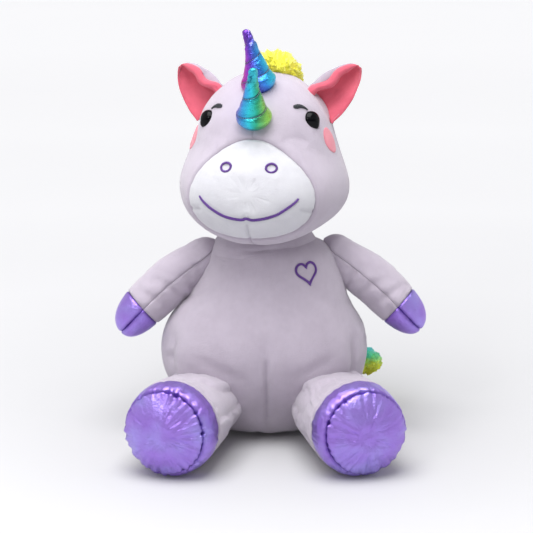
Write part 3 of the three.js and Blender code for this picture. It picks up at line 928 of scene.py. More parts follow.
@dataclass(frozen=True)
class Thread:
    """Twisted embroidery thread."""

    name: str
    colour: Colour
    pale: Colour
    metallic: float = 0.0
    roughness: float = 0.42

    def make(self) -> bpy.types.Material:
        """The material.

        Returns:
            The material.
        """
        look = Look(self.name)
        strand = look.noise(2400, 2, 0.6, stretch=(1.0, 1.0, 2.4))
        wear = look.noise(420, 2, 0.5)
        look.set(Base_Color=look.mix(self.colour, self.pale, (strand * 0.5 + wear * 0.3).clamp()))
        look.set(Roughness=self.roughness + 0.25 * strand, Metallic=self.metallic)
        look.set(Sheen_Weight=0.15, Sheen_Roughness=0.4)
        look.bump(strand, 0.0002)
        return look.material


@dataclass(frozen=True)
class Gloss:
    """Moulded plastic, polished or satin, with faint scuffs."""

    name: str
    colour: Colour
    pale: Colour
    roughness: float
    coat: float = 0.0
    shine: float = 0.5

    def make(self) -> bpy.types.Material:
        """The material.

        Returns:
            The material.
        """
        look = Look(self.name)
        scuff = look.noise(900, 3, 0.6)
        cloud = look.noise(160, 2, 0.5)
        look.set(Base_Color=look.mix(self.colour, self.pale, (cloud * 0.25).clamp()))
        look.set(
            Roughness=self.roughness + 0.06 * scuff.step(0.5, 0.8), Coat_Weight=self.coat, Coat_Roughness=0.03
        )
        look.set(Specular_IOR_Level=self.shine)
        look.bump(scuff, 0.00002)
        return look.material


@dataclass(frozen=True)
class Fibre:
    """Loose fibre: fur or filling, its colour running through stops along a line."""

    name: str
    origin: tuple[float, float, float]
    way: tuple[float, float, float]
    length: float
    stops: tuple[tuple[float, Colour], ...]

    def make(self) -> bpy.types.Material:
        """The material.

        Returns:
            The material.
        """
        look = Look(self.name)
        fine = look.noise(1500, 2, 0.6)
        lock = look.noise(130, 2, 0.5)
        place = look.along(self.origin, self.way) * (1 / self.length) + (lock - 0.5) * 0.3
        tone = look.ramp(place.clamp(), self.stops)
        shade = look.node("ShaderNodeVectorMath", {"operation": "SCALE"}, {0: tone, "Scale": 0.62}).outputs[0]
        look.set(Base_Color=look.mix(tone, shade, (fine * 0.35 + lock.step(0.5, 0.8) * 0.35).clamp()))
        look.set(Roughness=0.62 + 0.2 * fine, Sheen_Weight=0.3, Sheen_Roughness=0.5)
        look.bump(fine, 0.0002)
        return look.material


# ---------------------------------------------------------------- repeated shapes


class Recipe:
    """A Geometry Nodes tree being made."""

    def __init__(self, name: str, sockets: Sequence[tuple[str, str]]) -> None:
        """Starts a tree with a geometry in and out, and other named inputs.

        Args:
            name: The tree's name.
            sockets: Each other input's name and socket type.
        """
        self.tree = bpy.data.node_groups.new(name, "GeometryNodeTree")
        face = self.tree.interface
        face.new_socket("Geometry", in_out="INPUT", socket_type="NodeSocketGeometry")
        self.known = {}
        for label, kind in sockets:
            self.known[label] = face.new_socket(label, in_out="INPUT", socket_type=kind).identifier
        face.new_socket("Geometry", in_out="OUTPUT", socket_type="NodeSocketGeometry")
        self.given = self.tree.nodes.new("NodeGroupInput").outputs
        self.made = self.tree.nodes.new("NodeGroupOutput")

    def node(self, kind: str, settings: dict | None = None, inputs: dict | None = None, out: Any = 0) -> Any:
        """Adds a node and gives one of its outputs.

        Args:
            kind: The node's type.
            settings: Its properties.
            inputs: Values or sockets by socket name or number; a list joins several.
            out: Which output to give.

        Returns:
            The output socket.
        """
        made = self.tree.nodes.new(kind)
        for key, value in (settings or {}).items():
            setattr(made, key, value)
        for key, value in (inputs or {}).items():
            for one in value if isinstance(value, list) else [value]:
                if isinstance(one, bpy.types.NodeSocket):
                    self.tree.links.new(one, made.inputs[key])
                else:
                    made.inputs[key].default_value = one
        return made.outputs[out]

    def close(self, geometry: bpy.types.NodeSocket) -> None:
        """Ends the tree in real, smooth, finished geometry.

        Args:
            geometry: What the tree has made.
        """
        real = self.node("GeometryNodeRealizeInstances", {}, {0: geometry})
        smooth = self.node("GeometryNodeSetShadeSmooth", {}, {0: real})
        done = self.node("GeometryNodeSetMaterial", {}, {0: smooth, "Material": self.given["Material"]})
        self.tree.links.new(done, self.made.inputs[0])

    def cook(self, name: str, source: bpy.types.Object, **values: Any) -> bpy.types.Object:
        """Runs the tree on an object and keeps the result as a plain mesh.

        Args:
            name: The new piece's name.
            source: The object to run it on, which is used up.
            **values: The tree's inputs, an underscore standing for a space.

        Returns:
            The new piece.
        """
        modifier = source.modifiers.new("recipe", "NODES")
        modifier.node_group = self.tree
        for key, value in values.items():
            modifier[self.known[key.replace("_", " ")]] = value
        source.update_tag()
        view = bpy.context.evaluated_depsgraph_get()
        mesh = bpy.data.meshes.new_from_object(source.evaluated_get(view), depsgraph=view)
        remove(source)
        mesh.name = name
        made = bpy.data.objects.new(name, mesh)
        bpy.context.scene.collection.objects.link(made)
        return made


def stitching() -> Recipe:
    """Thread laid along a path: one bar at each step, across or along it.

    Returns:
        The tree. The path's points carry their width and the direction off the cloth.
    """
    number = "NodeSocketFloat"
    sockets = [("Spacing", number), ("Reach", number), ("Thickness", number), ("Slant", number)]
    recipe = Recipe("stitching", [*sockets, ("Seed", "NodeSocketInt"), ("Material", "NodeSocketMaterial")])
    given = recipe.given
    path = recipe.node("GeometryNodeMeshToCurve", {}, {0: given["Geometry"]})
    path = recipe.node(
        "GeometryNodeResampleCurve", {"mode": "LENGTH"}, {"Curve": path, "Length": given["Spacing"]}
    )
    bar = recipe.node("GeometryNodeMeshUVSphere", {}, {"Segments": 7, "Rings": 5, "Radius": 1.0})
    off = recipe.node("GeometryNodeInputNamedAttribute", {"data_type": "FLOAT_VECTOR"}, {"Name": "out"})
    width = recipe.node("GeometryNodeInputNamedAttribute", {"data_type": "FLOAT"}, {"Name": "width"})
    lie = recipe.node("FunctionNodeAlignRotationToVector", {"axis": "Z"}, {"Vector": off})
    tangent = recipe.node("GeometryNodeInputTangent")
    settings = {"axis": "X", "pivot_axis": "Z"}
    lie = recipe.node("FunctionNodeAlignRotationToVector", settings, {"Rotation": lie, "Vector": tangent})
    loose = recipe.node(
        "FunctionNodeRandomValue", {"data_type": "FLOAT"}, {2: -0.09, 3: 0.09, "Seed": given["Seed"]}, 1
    )
    angle = recipe.node("ShaderNodeMath", {"operation": "ADD"}, {0: given["Slant"], 1: loose})
    turn = recipe.node("ShaderNodeCombineXYZ", {}, {"Z": angle})
    turn = recipe.node("FunctionNodeEulerToRotation", {}, {0: turn})
    lie = recipe.node("FunctionNodeRotateRotation", {"rotation_space": "LOCAL"}, {0: lie, 1: turn})
    uneven = recipe.node(
        "FunctionNodeRandomValue", {"data_type": "FLOAT"}, {2: 0.88, 3: 1.08, "Seed": given["Seed"]}, 1
    )
    half = recipe.node("ShaderNodeMath", {"operation": "MULTIPLY"}, {0: width, 1: uneven})
    size = recipe.node("ShaderNodeCombineXYZ", {}, {0: given["Reach"], 1: half, 2: given["Thickness"]})
    bars = recipe.node(
        "GeometryNodeInstanceOnPoints", {}, {"Points": path, "Instance": bar, "Rotation": lie, "Scale": size}
    )
    recipe.close(bars)
    return recipe


def pelt() -> Recipe:
    """Fur: fine tapered strands over a backing, combed by the backing's own directions.

    Returns:
        The tree. The backing's points carry their comb direction.
    """
    number = "NodeSocketFloat"
    sockets = [("Density", number), ("Length", number), ("Radius", number), ("Loose", number)]
    recipe = Recipe("pelt", [*sockets, ("Seed", "NodeSocketInt"), ("Material", "NodeSocketMaterial")])
    given = recipe.given
    backing = given["Geometry"]
    settings = {"distribute_method": "RANDOM"}
    inputs = {"Mesh": backing, "Density": given["Density"], "Seed": given["Seed"]}
    roots = recipe.node("GeometryNodeDistributePointsOnFaces", settings, inputs)
    middle = recipe.node("ShaderNodeCombineXYZ", {}, {"X": 0.06, "Z": 0.5})
    end = recipe.node("ShaderNodeCombineXYZ", {}, {"X": 0.30, "Z": 0.94})
    arc = {"Resolution": 4, "Start": (0.0, 0.0, 0.0), "Middle": middle, "End": end}
    strand = recipe.node("GeometryNodeCurveQuadraticBezier", {}, arc)
    share = recipe.node("GeometryNodeSplineParameter")
    thin = recipe.node("ShaderNodeMath", {"operation": "SUBTRACT"}, {0: 1.04, 1: share})
    thin = recipe.node("ShaderNodeMath", {"operation": "POWER"}, {0: thin, 1: 0.7})
    thin = recipe.node("ShaderNodeMath", {"operation": "MULTIPLY"}, {0: thin, 1: given["Radius"]})
    strand = recipe.node("GeometryNodeSetCurveRadius", {}, {"Curve": strand, "Radius": thin})
    ring = recipe.node("GeometryNodeCurvePrimitiveCircle", {}, {"Resolution": 3, "Radius": 1.0})
    strand = recipe.node(
        "GeometryNodeCurveToMesh", {}, {"Curve": strand, "Profile Curve": ring, "Fill Caps": True}
    )
    comb = recipe.node("GeometryNodeInputNamedAttribute", {"data_type": "FLOAT_VECTOR"}, {"Name": "comb"})
    lock = recipe.node("ShaderNodeTexNoise", {}, {"Scale": 150.0, "Detail": 1.0}, "Color")
    lock = recipe.node("ShaderNodeVectorMath", {"operation": "SUBTRACT"}, {0: lock, 1: (0.5, 0.5, 0.5)})
    lock = recipe.node("ShaderNodeVectorMath", {"operation": "SCALE"}, {0: lock, "Scale": 2.2})
    vector = {"data_type": "FLOAT_VECTOR"}
    stray = {0: (-1.0, -1.0, -1.0), 1: (1.0, 1.0, 1.0), "Seed": given["Seed"]}
    stray = recipe.node("FunctionNodeRandomValue", vector, stray, 0)
    stray = recipe.node("ShaderNodeVectorMath", {"operation": "SCALE"}, {0: stray, "Scale": given["Loose"]})
    way = recipe.node("ShaderNodeVectorMath", {"operation": "ADD"}, {0: comb, 1: lock})
    way = recipe.node("ShaderNodeVectorMath", {"operation": "ADD"}, {0: way, 1: stray})
    lie = recipe.node("FunctionNodeAlignRotationToVector", {"axis": "Z"}, {"Vector": way})
    spin = recipe.node(
        "FunctionNodeRandomValue", {"data_type": "FLOAT"}, {2: 0.0, 3: 6.283, "Seed": given["Seed"]}, 1
    )
    spin = recipe.node("ShaderNodeCombineXYZ", {}, {"Z": spin})
    spin = recipe.node("FunctionNodeEulerToRotation", {}, {0: spin})
    lie = recipe.node("FunctionNodeRotateRotation", {"rotation_space": "LOCAL"}, {0: lie, 1: spin})
    tall = recipe.node(
        "FunctionNodeRandomValue", {"data_type": "FLOAT"}, {2: 0.55, 3: 1.0, "Seed": given["Seed"]}, 1
    )
    tall = recipe.node("ShaderNodeMath", {"operation": "MULTIPLY"}, {0: tall, 1: given["Length"]})
    hairs = {"Points": roots, "Instance": strand, "Rotation": lie, "Scale": tall}
    hairs = recipe.node("GeometryNodeInstanceOnPoints", {}, hairs)
    recipe.close(recipe.node("GeometryNodeJoinGeometry", {}, {0: [hairs, backing]}))
    return recipe


# ---------------------------------------------------------------- the toy's materials and trees


class Kit:
    """The finishes and trees that the sub-assemblies share."""

    def __init__(self) -> None:
        """Makes each finish and tree once."""
        lilac, lilac_shade = (0.545, 0.487, 0.568), (0.405, 0.352, 0.424)
        self.velour = Plush("velour", lilac, lilac_shade).make()
        self.white = Plush("muzzle_velour", (0.66, 0.66, 0.69), (0.54, 0.53, 0.58)).make()
        self.pink = Plush("pink_plush", (0.82, 0.17, 0.235), (0.50, 0.055, 0.10), sheen=0.25).make()
        self.blush = Plush("cheek_plush", (0.86, 0.33, 0.39), (0.62, 0.17, 0.23), sheen=0.25).make()
        self.foil = Foil("hoof_foil", (0.37, 0.22, 0.74), (0.44, 0.43, 0.93), (0.10, 0.04, 0.30)).make()
        self.purple = Thread("purple_thread", (0.085, 0.022, 0.21), (0.20, 0.085, 0.40)).make()
        self.silver = Thread("silver_thread", (0.06, 0.065, 0.10), (0.40, 0.42, 0.52), 0.6, 0.3).make()
        self.black = Thread("black_thread", (0.006, 0.008, 0.012), (0.05, 0.055, 0.065), 0.0, 0.32).make()
        self.eye = Gloss("black_eye", (0.002, 0.002, 0.003), (0.005, 0.005, 0.006), 0.07, 0.0, 0.12).make()
        self.washer = Gloss("washer_plastic", (0.78, 0.78, 0.78), (0.62, 0.63, 0.65), 0.35).make()
        white = ((0.0, (0.86, 0.86, 0.84)), (1.0, (0.78, 0.78, 0.76)))
        self.fill = Fibre("fibre_fill", (0, 0, 0), (0, 0, 1), 0.4, white).make()
        self.stitching = stitching()
        self.pelt = pelt()


def apply_modifiers(piece: bpy.types.Object) -> None:
    """Makes a piece's modifiers part of its mesh."""
    view = bpy.context.evaluated_depsgraph_get()
    piece.data = bpy.data.meshes.new_from_object(piece.evaluated_get(view), depsgraph=view)
    piece.modifiers.clear()


def dress(
    piece: bpy.types.Object, material: bpy.types.Material, slot: str, body: str, *nodes: str
) -> bpy.types.Object:
    """Finishes a piece: its material, the body it rides on and the nodes it stands for.

    Args:
        piece: The piece.
        material: Its material.
        slot: Not used.
        body: The body it rides on.
        *nodes: The CAD nodes it stands for.

    Returns:
        The same piece.
    """
    piece.data.materials.clear()
    piece.data.materials.append(material)
    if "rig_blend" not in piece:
        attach(piece, body)
    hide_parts(*nodes)
    LOG.info("%s rides on %s", piece.name, body)
    return piece


def path_object(points: Array, out: Array, width: Array, closed: bool = False) -> bpy.types.Object:
    """A line of points for the stitching tree, each with its width and its direction off the cloth.

    Args:
        points: The points of the line.
        out: The direction off the cloth at each.
        width: The width at each.
        closed: Whether the line joins its own start.

    Returns:
        The line.
    """
    count = len(points)
    edges = [[i, i + 1] for i in range(count - 1)] + ([[count - 1, 0]] if closed else [])
    mesh = bpy.data.meshes.new("path")
    mesh.from_pydata(points.tolist(), edges, [])
    mesh.attributes.new("out", "FLOAT_VECTOR", "POINT").data.foreach_set(
        "vector", out.astype(np.float32).ravel()
    )
    mesh.attributes.new("width", "FLOAT", "POINT").data.foreach_set("value", width.astype(np.float32))
    made = bpy.data.objects.new("path", mesh)
    bpy.context.scene.collection.objects.link(made)
    return made


def lens(
    name: str, outline: Array, rise: Sequence[tuple[float, float]], place: Callable[[Array], Array]
) -> bpy.types.Object:
    """A closed button or patch: rings of one outline, each at a share of its size and a height.

    Args:
        name: The piece's name.
        outline: The outline's flat points.
        rise: The rings, from the middle of the face over the edge to the middle of the back.
        place: Sends flat points with heights to where they belong.

    Returns:
        The piece.
    """
    rings = [
        place(np.column_stack([outline * max(share, 0.001), np.full(len(outline), height)])) for share,
        height in rise
    ]
    points = np.array(rings)
    form = Form(points, np.zeros((len(rise) - 1, len(outline))))
    used = sorted({v for f in form.faces for v in f})
    number = {v: i for i, v in enumerate(used)}
    piece = mesh_object(name, form.vertices[used], [[number[v] for v in f] for f in form.faces])
    face_out(piece)
    return piece


@dataclass
class Torso:
    """The torso: a front panel, two back panels and a seat panel, stuffed."""

    kit: Kit
    softness: float = 0.030
    seat_half: tuple[float, float] = (0.052, 0.042)
    seat_back: float = 0.008
    top: float = 0.1965
    heart_angles: tuple[float, float] = (37.5, 49.5)
    heart_size: float = 0.011
    form: Form = field(init=False)
    skin: Skin = field(init=False)

    def __post_init__(self) -> None:
        """Sets up the skin, with the seat pressed on the floor and the top under the head."""
        lobes = [
            Lobe((-0.002, 0.0, 0.082), (0.104, 0.086, 0.080)),
            Lobe((0.006, -0.004, 0.150), (0.067, 0.056, 0.072)),
            Lobe((0.0, 0.014, 0.034), (0.086, 0.064, 0.037)),
        ]
        self.skin = Pressed(lobes, self.softness, (0, 0, 0.095), self.top)

    def shape(self) -> None:
        """Lays the cloth out on a grid, sews it and fills it."""
        angles, (_, _, left, back, _) = spread([-94, 0, 94, 180, 266], 1.3, 3.4)
        angles = angles[:-1]
        polar, (_, seat, _) = spread([0, 40, 180], 1.2, 2.8)
        a = np.radians(angles)
        way = np.stack([np.sin(a), -np.cos(a)], axis=-1)
        half = np.array(self.seat_half)
        offset = np.array([0, -self.seat_back]) / half
        w = way / half
        b, c = np.sum(w * offset, axis=-1), np.sum(offset * offset) - 1
        reach = (-b + np.sqrt(b * b - np.sum(w * w, axis=-1) * c)) / np.sum(w * w, axis=-1)
        edge = np.degrees(np.arctan2(reach, self.skin.centre[2]))
        p = polar[:, None]
        down = np.where(p <= 40, p / 40 * edge, edge + (p - 40) / 140 * (180 - edge))
        points = self.skin.point(toward(angles, down - 90), -0.0008)
        rows, columns = points.shape[:2]
        panels = np.zeros((rows - 1, columns), int)
        panels[:, left:back] = 1
        panels[:, back:] = 2
        panels[:seat] = 3
        rim, all_rows = np.full(columns + 1, seat), np.arange(seat, rows)
        around = np.append(np.arange(columns), 0)
        seams = [Seam(rim, around, pucker=0.0005)]
        seams += [
            Seam(all_rows, np.full(len(all_rows), c), pucker=0.0005, reach=0.008) for c in (0, left, back)
        ]
        for angle, low, high in ((0, 42, 86), (62, 70, 92), (-64, 70, 92)):
            column = int(np.argmin(np.abs(angles - angle)))
            run = np.where((down[:, column] > low) & (down[:, column] < high))[0]
            seams.append(Seam(run, np.full(len(run), column), 0.0026, 0.0022, 0.0007, 0.008, 190))
        self.form = Form(points, panels, seams)
        self.form.sew()
        self.form.dent(0.0011, 24, 3)
        self.form.fold(self._creases())
        self.form.puff(0.020, 2.5, 0.004)
        self.form.rest(0.0006)

    def _creases(self) -> list[tuple[Array, float, float]]:
        """Soft creases where the arms and legs pull the cloth, each a line, a depth and a width.

        Returns:
            Each crease's points, depth and width.
        """
        found = []
        for side in (1, -1):
            found += [
                (toward(np.linspace(30, 62, 12) * side, np.linspace(50, 36, 12)), 0.0016, 0.0035),
                (toward(np.linspace(40, 66, 12) * side, np.linspace(38, 20, 12)), 0.0012, 0.0045),
                (toward(np.linspace(14, 50, 12) * side, np.linspace(-16, -2, 12)), 0.0016, 0.0050),
                (toward(np.linspace(96, 120, 12) * side, np.linspace(40, 22, 12)), 0.0012, 0.0045),
            ]
        found.append((toward(np.linspace(-46, -10, 12), np.linspace(57, 62, 12)), 0.0014, 0.0026))
        found.append((toward(np.linspace(6, 48, 12), np.linspace(61, 55, 12)), 0.0014, 0.0026))
        return [(self.skin.point(line), depth, width) for line, depth, width in found]

    def build(self) -> None:
        """Makes the panels, the filling and the stitched heart."""
        self.shape()
        names = ["torso_front_panel", "torso_back_left_panel", "torso_back_right_panel", "seat_panel"]
        for number, name in enumerate(names):
            piece = dress(self.form.cut(name + "_cloth", number), self.kit.velour, "velour", "torso", name)
        core = dress(
            self.form.core("torso_filling", 0.0075), self.kit.fill, "fibre_fill", "torso", "torso_stuffing"
        )
        t = np.linspace(0, 2 * math.pi, 73)[:-1]
        x = -(np.sin(t) ** 3) * self.heart_size
        y = (
            13 * np.cos(t) - 5 * np.cos(2 * t) - 2 * np.cos(3 * t) - np.cos(4 * t)
        ) / 16 * self.heart_size * 1.1
        flat = np.column_stack([x, y, np.zeros(len(t))])
        spot = self.skin.wrap(toward(*self.heart_angles), 6, flat)
        line = land(self.form.tree(), self.skin.centre, spot, 0.0006)
        path = path_object(line, self.skin.normal(line), np.full(len(t), 0.0015), closed=True)
        values = {"Spacing": 0.00052, "Reach": 0.00036, "Thickness": 0.0009, "Slant": 0.35, "Seed": 4}
        heart = self.kit.stitching.cook("chest_heart", path, Material=self.kit.purple, **values)
        dress(heart, self.kit.purple, "purple_thread", "torso", "chest_heart_stitching")


@dataclass
class Neck:
    """The sewn neck: a sleeve of cloth drawn together under the head."""

    kit: Kit
    radius: float = 0.0646
    shape: tuple[float, float, float] = (0.91, 0.78, 1.0)
    low: float = -8.0
    high: float = 60.0

    def build(self) -> None:
        """Makes the sleeve and its filling."""
        pivot = joint_point("head_turn")
        angles = np.linspace(0, 360, 145)[:-1]
        rise = np.linspace(self.low, self.high, 34)
        half = np.array(self.shape) * self.radius
        points = pivot + toward(angles, rise[:, None]) * half
        form = Form(points, np.zeros((len(rise) - 1, len(angles))), poles=False)
        lines = []
        for start, end, level in (
            (-70, -12, 20), (-34, 34, 29), (10, 72, 22), (110, 190, 24), (200, 280, 26)
        ):
            sweep = np.linspace(start, end, 24)
            lines.append(
                (pivot + toward(sweep, level + 2.2 * np.sin(np.radians(sweep * 3))) * half, 0.0016, 0.0018)
            )
        form.fold(lines)
        form.dent(0.0008, 60, 9)
        sleeve = form.cut("neck_sleeve", 0, lip=0.003)
        apply_modifiers(sleeve)
        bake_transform(sleeve, "neck", "head", (0, pivot[1], pivot[2] + 0.034), (0, pivot[1], pivot[2] + 0.048))
        dress(sleeve, self.kit.velour, "velour", "neck", "neck_cover")
        rise = np.linspace(self.low, 90, 20)
        ball = pivot + toward(angles[::3], rise[:, None]) * (half - 0.006)
        base = np.repeat((pivot + [0, 0, 0.016])[None, None], ball.shape[1], axis=1)
        plug = Form(np.concatenate([base, ball]), np.zeros((len(rise), ball.shape[1])))
        core = plug.core("neck_filling", 0.0)
        dress(core, self.kit.fill, "fibre_fill", "neck", "neck_stuffing")


@dataclass
class Head:
    """The head: two lilac panels and a white muzzle, with its face."""

    kit: Kit
    centre: tuple[float, float, float] = (-0.002, -0.012, 0.272)
    turn: float = -10.3
    muzzle_dip: float = -10.0
    muzzle_angle: float = 37.25
    eye_radius: float = 0.0084
    form: Form = field(init=False)
    skin: Skin = field(init=False)

    def __post_init__(self) -> None:
        """Sets up the skin."""
        lobes = [
            Lobe((0, 0.006, 0.012), (0.070, 0.072, 0.078)),
            Lobe((0, 0, -0.024), (0.084, 0.074, 0.050)),
            Lobe((0, -0.046, -0.026), (0.064, 0.050, 0.044)),
        ]
        self.skin = Skin(lobes, 0.026, (0, 0, 0))
        turn = math.radians(self.turn)
        self.matrix = np.array(
            [[math.cos(turn), -math.sin(turn), 0], [math.sin(turn), math.cos(turn), 0], [0, 0, 1]]
        )

    def world(self, points: Array) -> Array:
        """Points of the head's own frame, where they are on the toy."""
        return points @ self.matrix.T + np.array(self.centre)

    def local(self, points: Array) -> Array:
        """Points on the toy, in the head's own frame."""
        return (points - np.array(self.centre)) @ self.matrix

    def _muzzle(self, angle: Array) -> Array:
        """How far the muzzle's seam is from its middle, at angles round from the top."""
        a = np.radians(angle)
        return self.muzzle_angle + 0.2 * np.cos(a) - 4.25 * np.cos(2 * a) + 2.3 * np.cos(3 * a)

    def _smile(self, share: Array) -> Array:
        """Directions along the smile, from -1 to 1."""
        return toward(30 * share, -24.4 + 11 * np.abs(share) ** 2.2 + 1.2 * np.exp(-((share / 0.06) ** 2)))

    def shape(self) -> None:
        """Lays the cloth out round the muzzle, sews it and fills it."""
        angles, (_, chin, _) = spread([0, 180, 360], 1.1, 2.6)
        angles = angles[:-1]
        polar, (_, rim, _) = spread([0, 37, 180], 0.75, 2.3)
        edge = self._muzzle(angles)
        p = polar[:, None]
        out = np.where(p <= 37, p / 37 * edge, edge + (p - 37) / 143 * (180 - edge))
        ahead = toward(0, self.muzzle_dip)
        above = unit(UP - ahead * (UP @ ahead))
        right = np.cross(ahead, above)
        a, t = np.radians(angles)[None, :, None], np.radians(out)[..., None]
        ways = ahead * np.cos(t) + (above * np.cos(a) + right * np.sin(a)) * np.sin(t)
        points = self.skin.point(ways, -0.0010)
        rows, columns = points.shape[:2]
        panels = np.ones((rows - 1, columns), int)
        panels[:, chin:] = 2
        panels[:rim] = 0
        around, back = np.append(np.arange(columns), 0), np.arange(rim, rows)
        seams = [Seam(np.full(columns + 1, rim), around, 0.0017, 0.0014, 0.0005, 0.006)]
        seams += [Seam(back, np.full(len(back), c), 0.0007, 0.0011, 0.0003, 0.005) for c in (0, chin)]
        for angle, share in ((180, 0.60), (112, 0.74), (-112, 0.74)):
            column = int(np.argmin(np.abs(angles - angle % 360)))
            run = np.arange(int(rim * share), rim + 1)
            seams.append(Seam(run, np.full(len(run), column), 0.0015, 0.0014, 0.0004, 0.006))
        self.form = Form(points, panels, seams)
        self.form.sew()
        self.form.dent(0.0009, 26, 5)
        self.form.fold(self._creases())
        self.form.puff(0.006, 2.0, 0.0020)
        self.land_tree = self.form.tree()
        self.form.vertices = self.world(self.form.vertices)
        self.form.normals = self.form.normals @ self.matrix.T
        self.form.smooth = self.world(self.form.smooth)
        self.form.smooth_normals = self.form.smooth_normals @ self.matrix.T

    def _creases(self) -> list[tuple[Array, float, float]]:
        """Where the face is drawn in: under the smile, round the eyes, nostrils, horns and ears.

        Returns:
            Each crease's points, depth and width.
        """
        found = [(self.skin.point(self._smile(np.linspace(-1, 1, 60))), 0.0007, 0.0030)]
        for side in (1, -1):
            found.append((self.skin.point(toward(np.array([57.5, 57.6]) * side, 37.5)), 0.0016, 0.0085))
            found.append((self.skin.point(toward(np.array([14.8, 14.9]) * side, 4)), 0.0014, 0.0050))
            ring = np.linspace(28, 62, 12)
            found.append((self.skin.point(toward(90 * side, ring)), 0.0018, 0.0050))
        return found

    def cover(self) -> None:
        """Makes the three panels and the filling."""
        for number, (name, finish, slot) in enumerate([
            ("muzzle_panel", self.kit.white, "muzzle_velour"),
            ("head_left_panel", self.kit.velour, "velour"),
            ("head_right_panel", self.kit.velour, "velour"),
        ]):
            piece = dress(self.form.cut(name + "_cloth", number), finish, slot, "head", name)
        core = dress(
            self.form.core("head_filling", 0.0065), self.kit.fill, "fibre_fill", "head", "head_stuffing"
        )

    def set_down(self, points: Array, lift: Array | float = 0.0) -> Array:
        """Points of the head's frame, set on the finished cloth and given where they are on the toy."""
        return self.world(land(self.land_tree, np.zeros(3), points, lift))

    def _stitch(self, name: str, points: Array, width: Array, finish: bpy.types.Material, slot: str,
                node: str,
                closed: bool = False, slant: float = 0.3, seed: int = 1) -> None:
        """Lays one embroidered line on the face.

        Args:
            name: The piece's name.
            points: The line, in the head's frame.
            width: Its width at each point.
            finish: Its thread.
            slot: The thread's slot.
            node: The CAD node it stands for.
            closed: Whether the line joins its own start.
            slant: How far the stitches lean.
            seed: The seed of their unevenness.
        """
        out = self.skin.normal(points) @ self.matrix.T
        path = path_object(self.set_down(points, 0.0006), out, width, closed)
        values = {"Spacing": 0.00050, "Reach": 0.00036, "Thickness": 0.0009, "Slant": slant, "Seed": seed}
        made = self.kit.stitching.cook(name, path, Material=finish, **values)
        dress(made, finish, slot, "head", node)

    def face(self) -> None:
        """Makes the eyes, brows, cheeks, nostrils and smile."""
        t = np.linspace(0, 2 * math.pi, 49)[:-1]
        share = np.linspace(-1, 1, 90)
        width = 0.00175 * (1 - 0.35 * np.abs(share) ** 6)
        self._stitch(
            "smile", self.skin.point(self._smile(share)), width, self.kit.purple, "purple_thread",
            "smile_stitching"
        )
        for side in Side:
            s, word = side.value, side.word
            spot = toward(14.8 * s, 4)
            ring = np.column_stack([0.0052 * np.cos(t), 0.0046 * np.sin(t), 0 * t])
            points = self.skin.wrap(spot, 20 * s, ring)
            name = f"{word}_nostril"
            self._stitch(
                name, points, np.full(48, 0.00130), self.kit.purple, "purple_thread", name + "_stitching",
                True
            )
            self._brow(word, s)
            self._cheek(word, s)
            self._eye(word, s)

    def _brow(self, word: str, s: int) -> None:
        """One eyebrow: a satin crescent, thick at its inner end.

        Args:
            word: Left or right.
            s: 1 for left, -1 for right.
        """
        share = np.linspace(0, 1, 40)
        rise = 0.0022 * np.sin(math.pi * share ** 0.9)
        flat = np.column_stack([(share - 0.45) * 0.0150 * s, rise, 0 * share])
        points = self.skin.wrap(toward((48 + s) * s, 46), -9 * s, flat)
        width = 0.0029 * (1 - share ** 1.6) ** 0.9 * ease(share, -0.05, 0.08) + 0.00030
        name = f"{word}_eyebrow"
        self._stitch(
            name + "_satin", points, width, self.kit.black, "black_thread", name, slant=0.5 * s, seed=7
        )

    def _cheek(self, word: str, s: int) -> None:
        """One pink cheek: an oval patch with soft turned edges.

        Args:
            word: Left or right.
            s: 1 for left, -1 for right.
        """
        t = np.linspace(0, 2 * math.pi, 65)[:-1]
        outline = np.column_stack([0.0100 * np.cos(t), 0.0130 * np.sin(t)])
        rise = [(0, 0.0011), (0.3, 0.0011), (0.55, 0.00105), (0.75, 0.0010), (0.88, 0.0008), (0.96, 0.0005),
                (1.0, 0.0001), (0.97, -0.0004), (0.6, -0.0005), (0, -0.0005)]

        def place(flat: Array) -> Array:
            """Sends flat points onto the cheek."""
            points = self.skin.wrap(toward(76 * s, 20.0), 20 * s, flat * [1, 1, 0])
            return self.set_down(points, flat[:, 2])

        name = f"{word}_cheek_patch"
        piece = lens(name + "_plush", outline, rise, place)
        dress(piece, self.kit.blush, "pink_plush", "head", name)

    def _eye(self, word: str, s: int) -> None:
        """One safety eye: a glossy teardrop dome with its shank, and its washer behind the cloth.

        Args:
            word: Left or right.
            s: 1 for left, -1 for right.
        """
        t = np.linspace(0, 2 * math.pi, 57)[:-1]
        point = math.atan2(-0.85, 0.52 * s)
        off = (t - point + math.pi) % (2 * math.pi) - math.pi
        radius = self.eye_radius * (
            1 + 0.20 * np.exp(-((off / 0.34) ** 2)) - 0.03 * np.exp(-(((np.abs(off) - 1.1) / 0.5) ** 2))
        )
        outline = np.column_stack([radius * np.cos(t), radius * np.sin(t)])
        steps = np.linspace(0, 1, 12)
        rise = [(math.sin(p * math.pi / 2), 0.0002 + 0.0060 * math.cos(p * math.pi / 2)) for p in steps]
        rise += [
            (1.0, -0.0012), (0.96, -0.0040), (0.36, -0.0048), (0.32, -0.0052), (0.30, -0.0100),
            (0.2, -0.0112), (0, -0.0114)
        ]
        spot = self.skin.point(toward((58 + s) * s, 37.5))
        out = unit(self.skin.normal(spot) + 0.5 * toward(0, 0))
        right = unit(np.cross(UP, out))
        above = np.cross(out, right)
        seat = land(self.land_tree, np.zeros(3), spot, 0.0)

        def place(flat: Array) -> Array:
            """Sends flat points into the eye's own frame."""
            return self.world(seat + flat[:, :1] * right + flat[:, 1:2] * above + flat[:, 2:] * out)

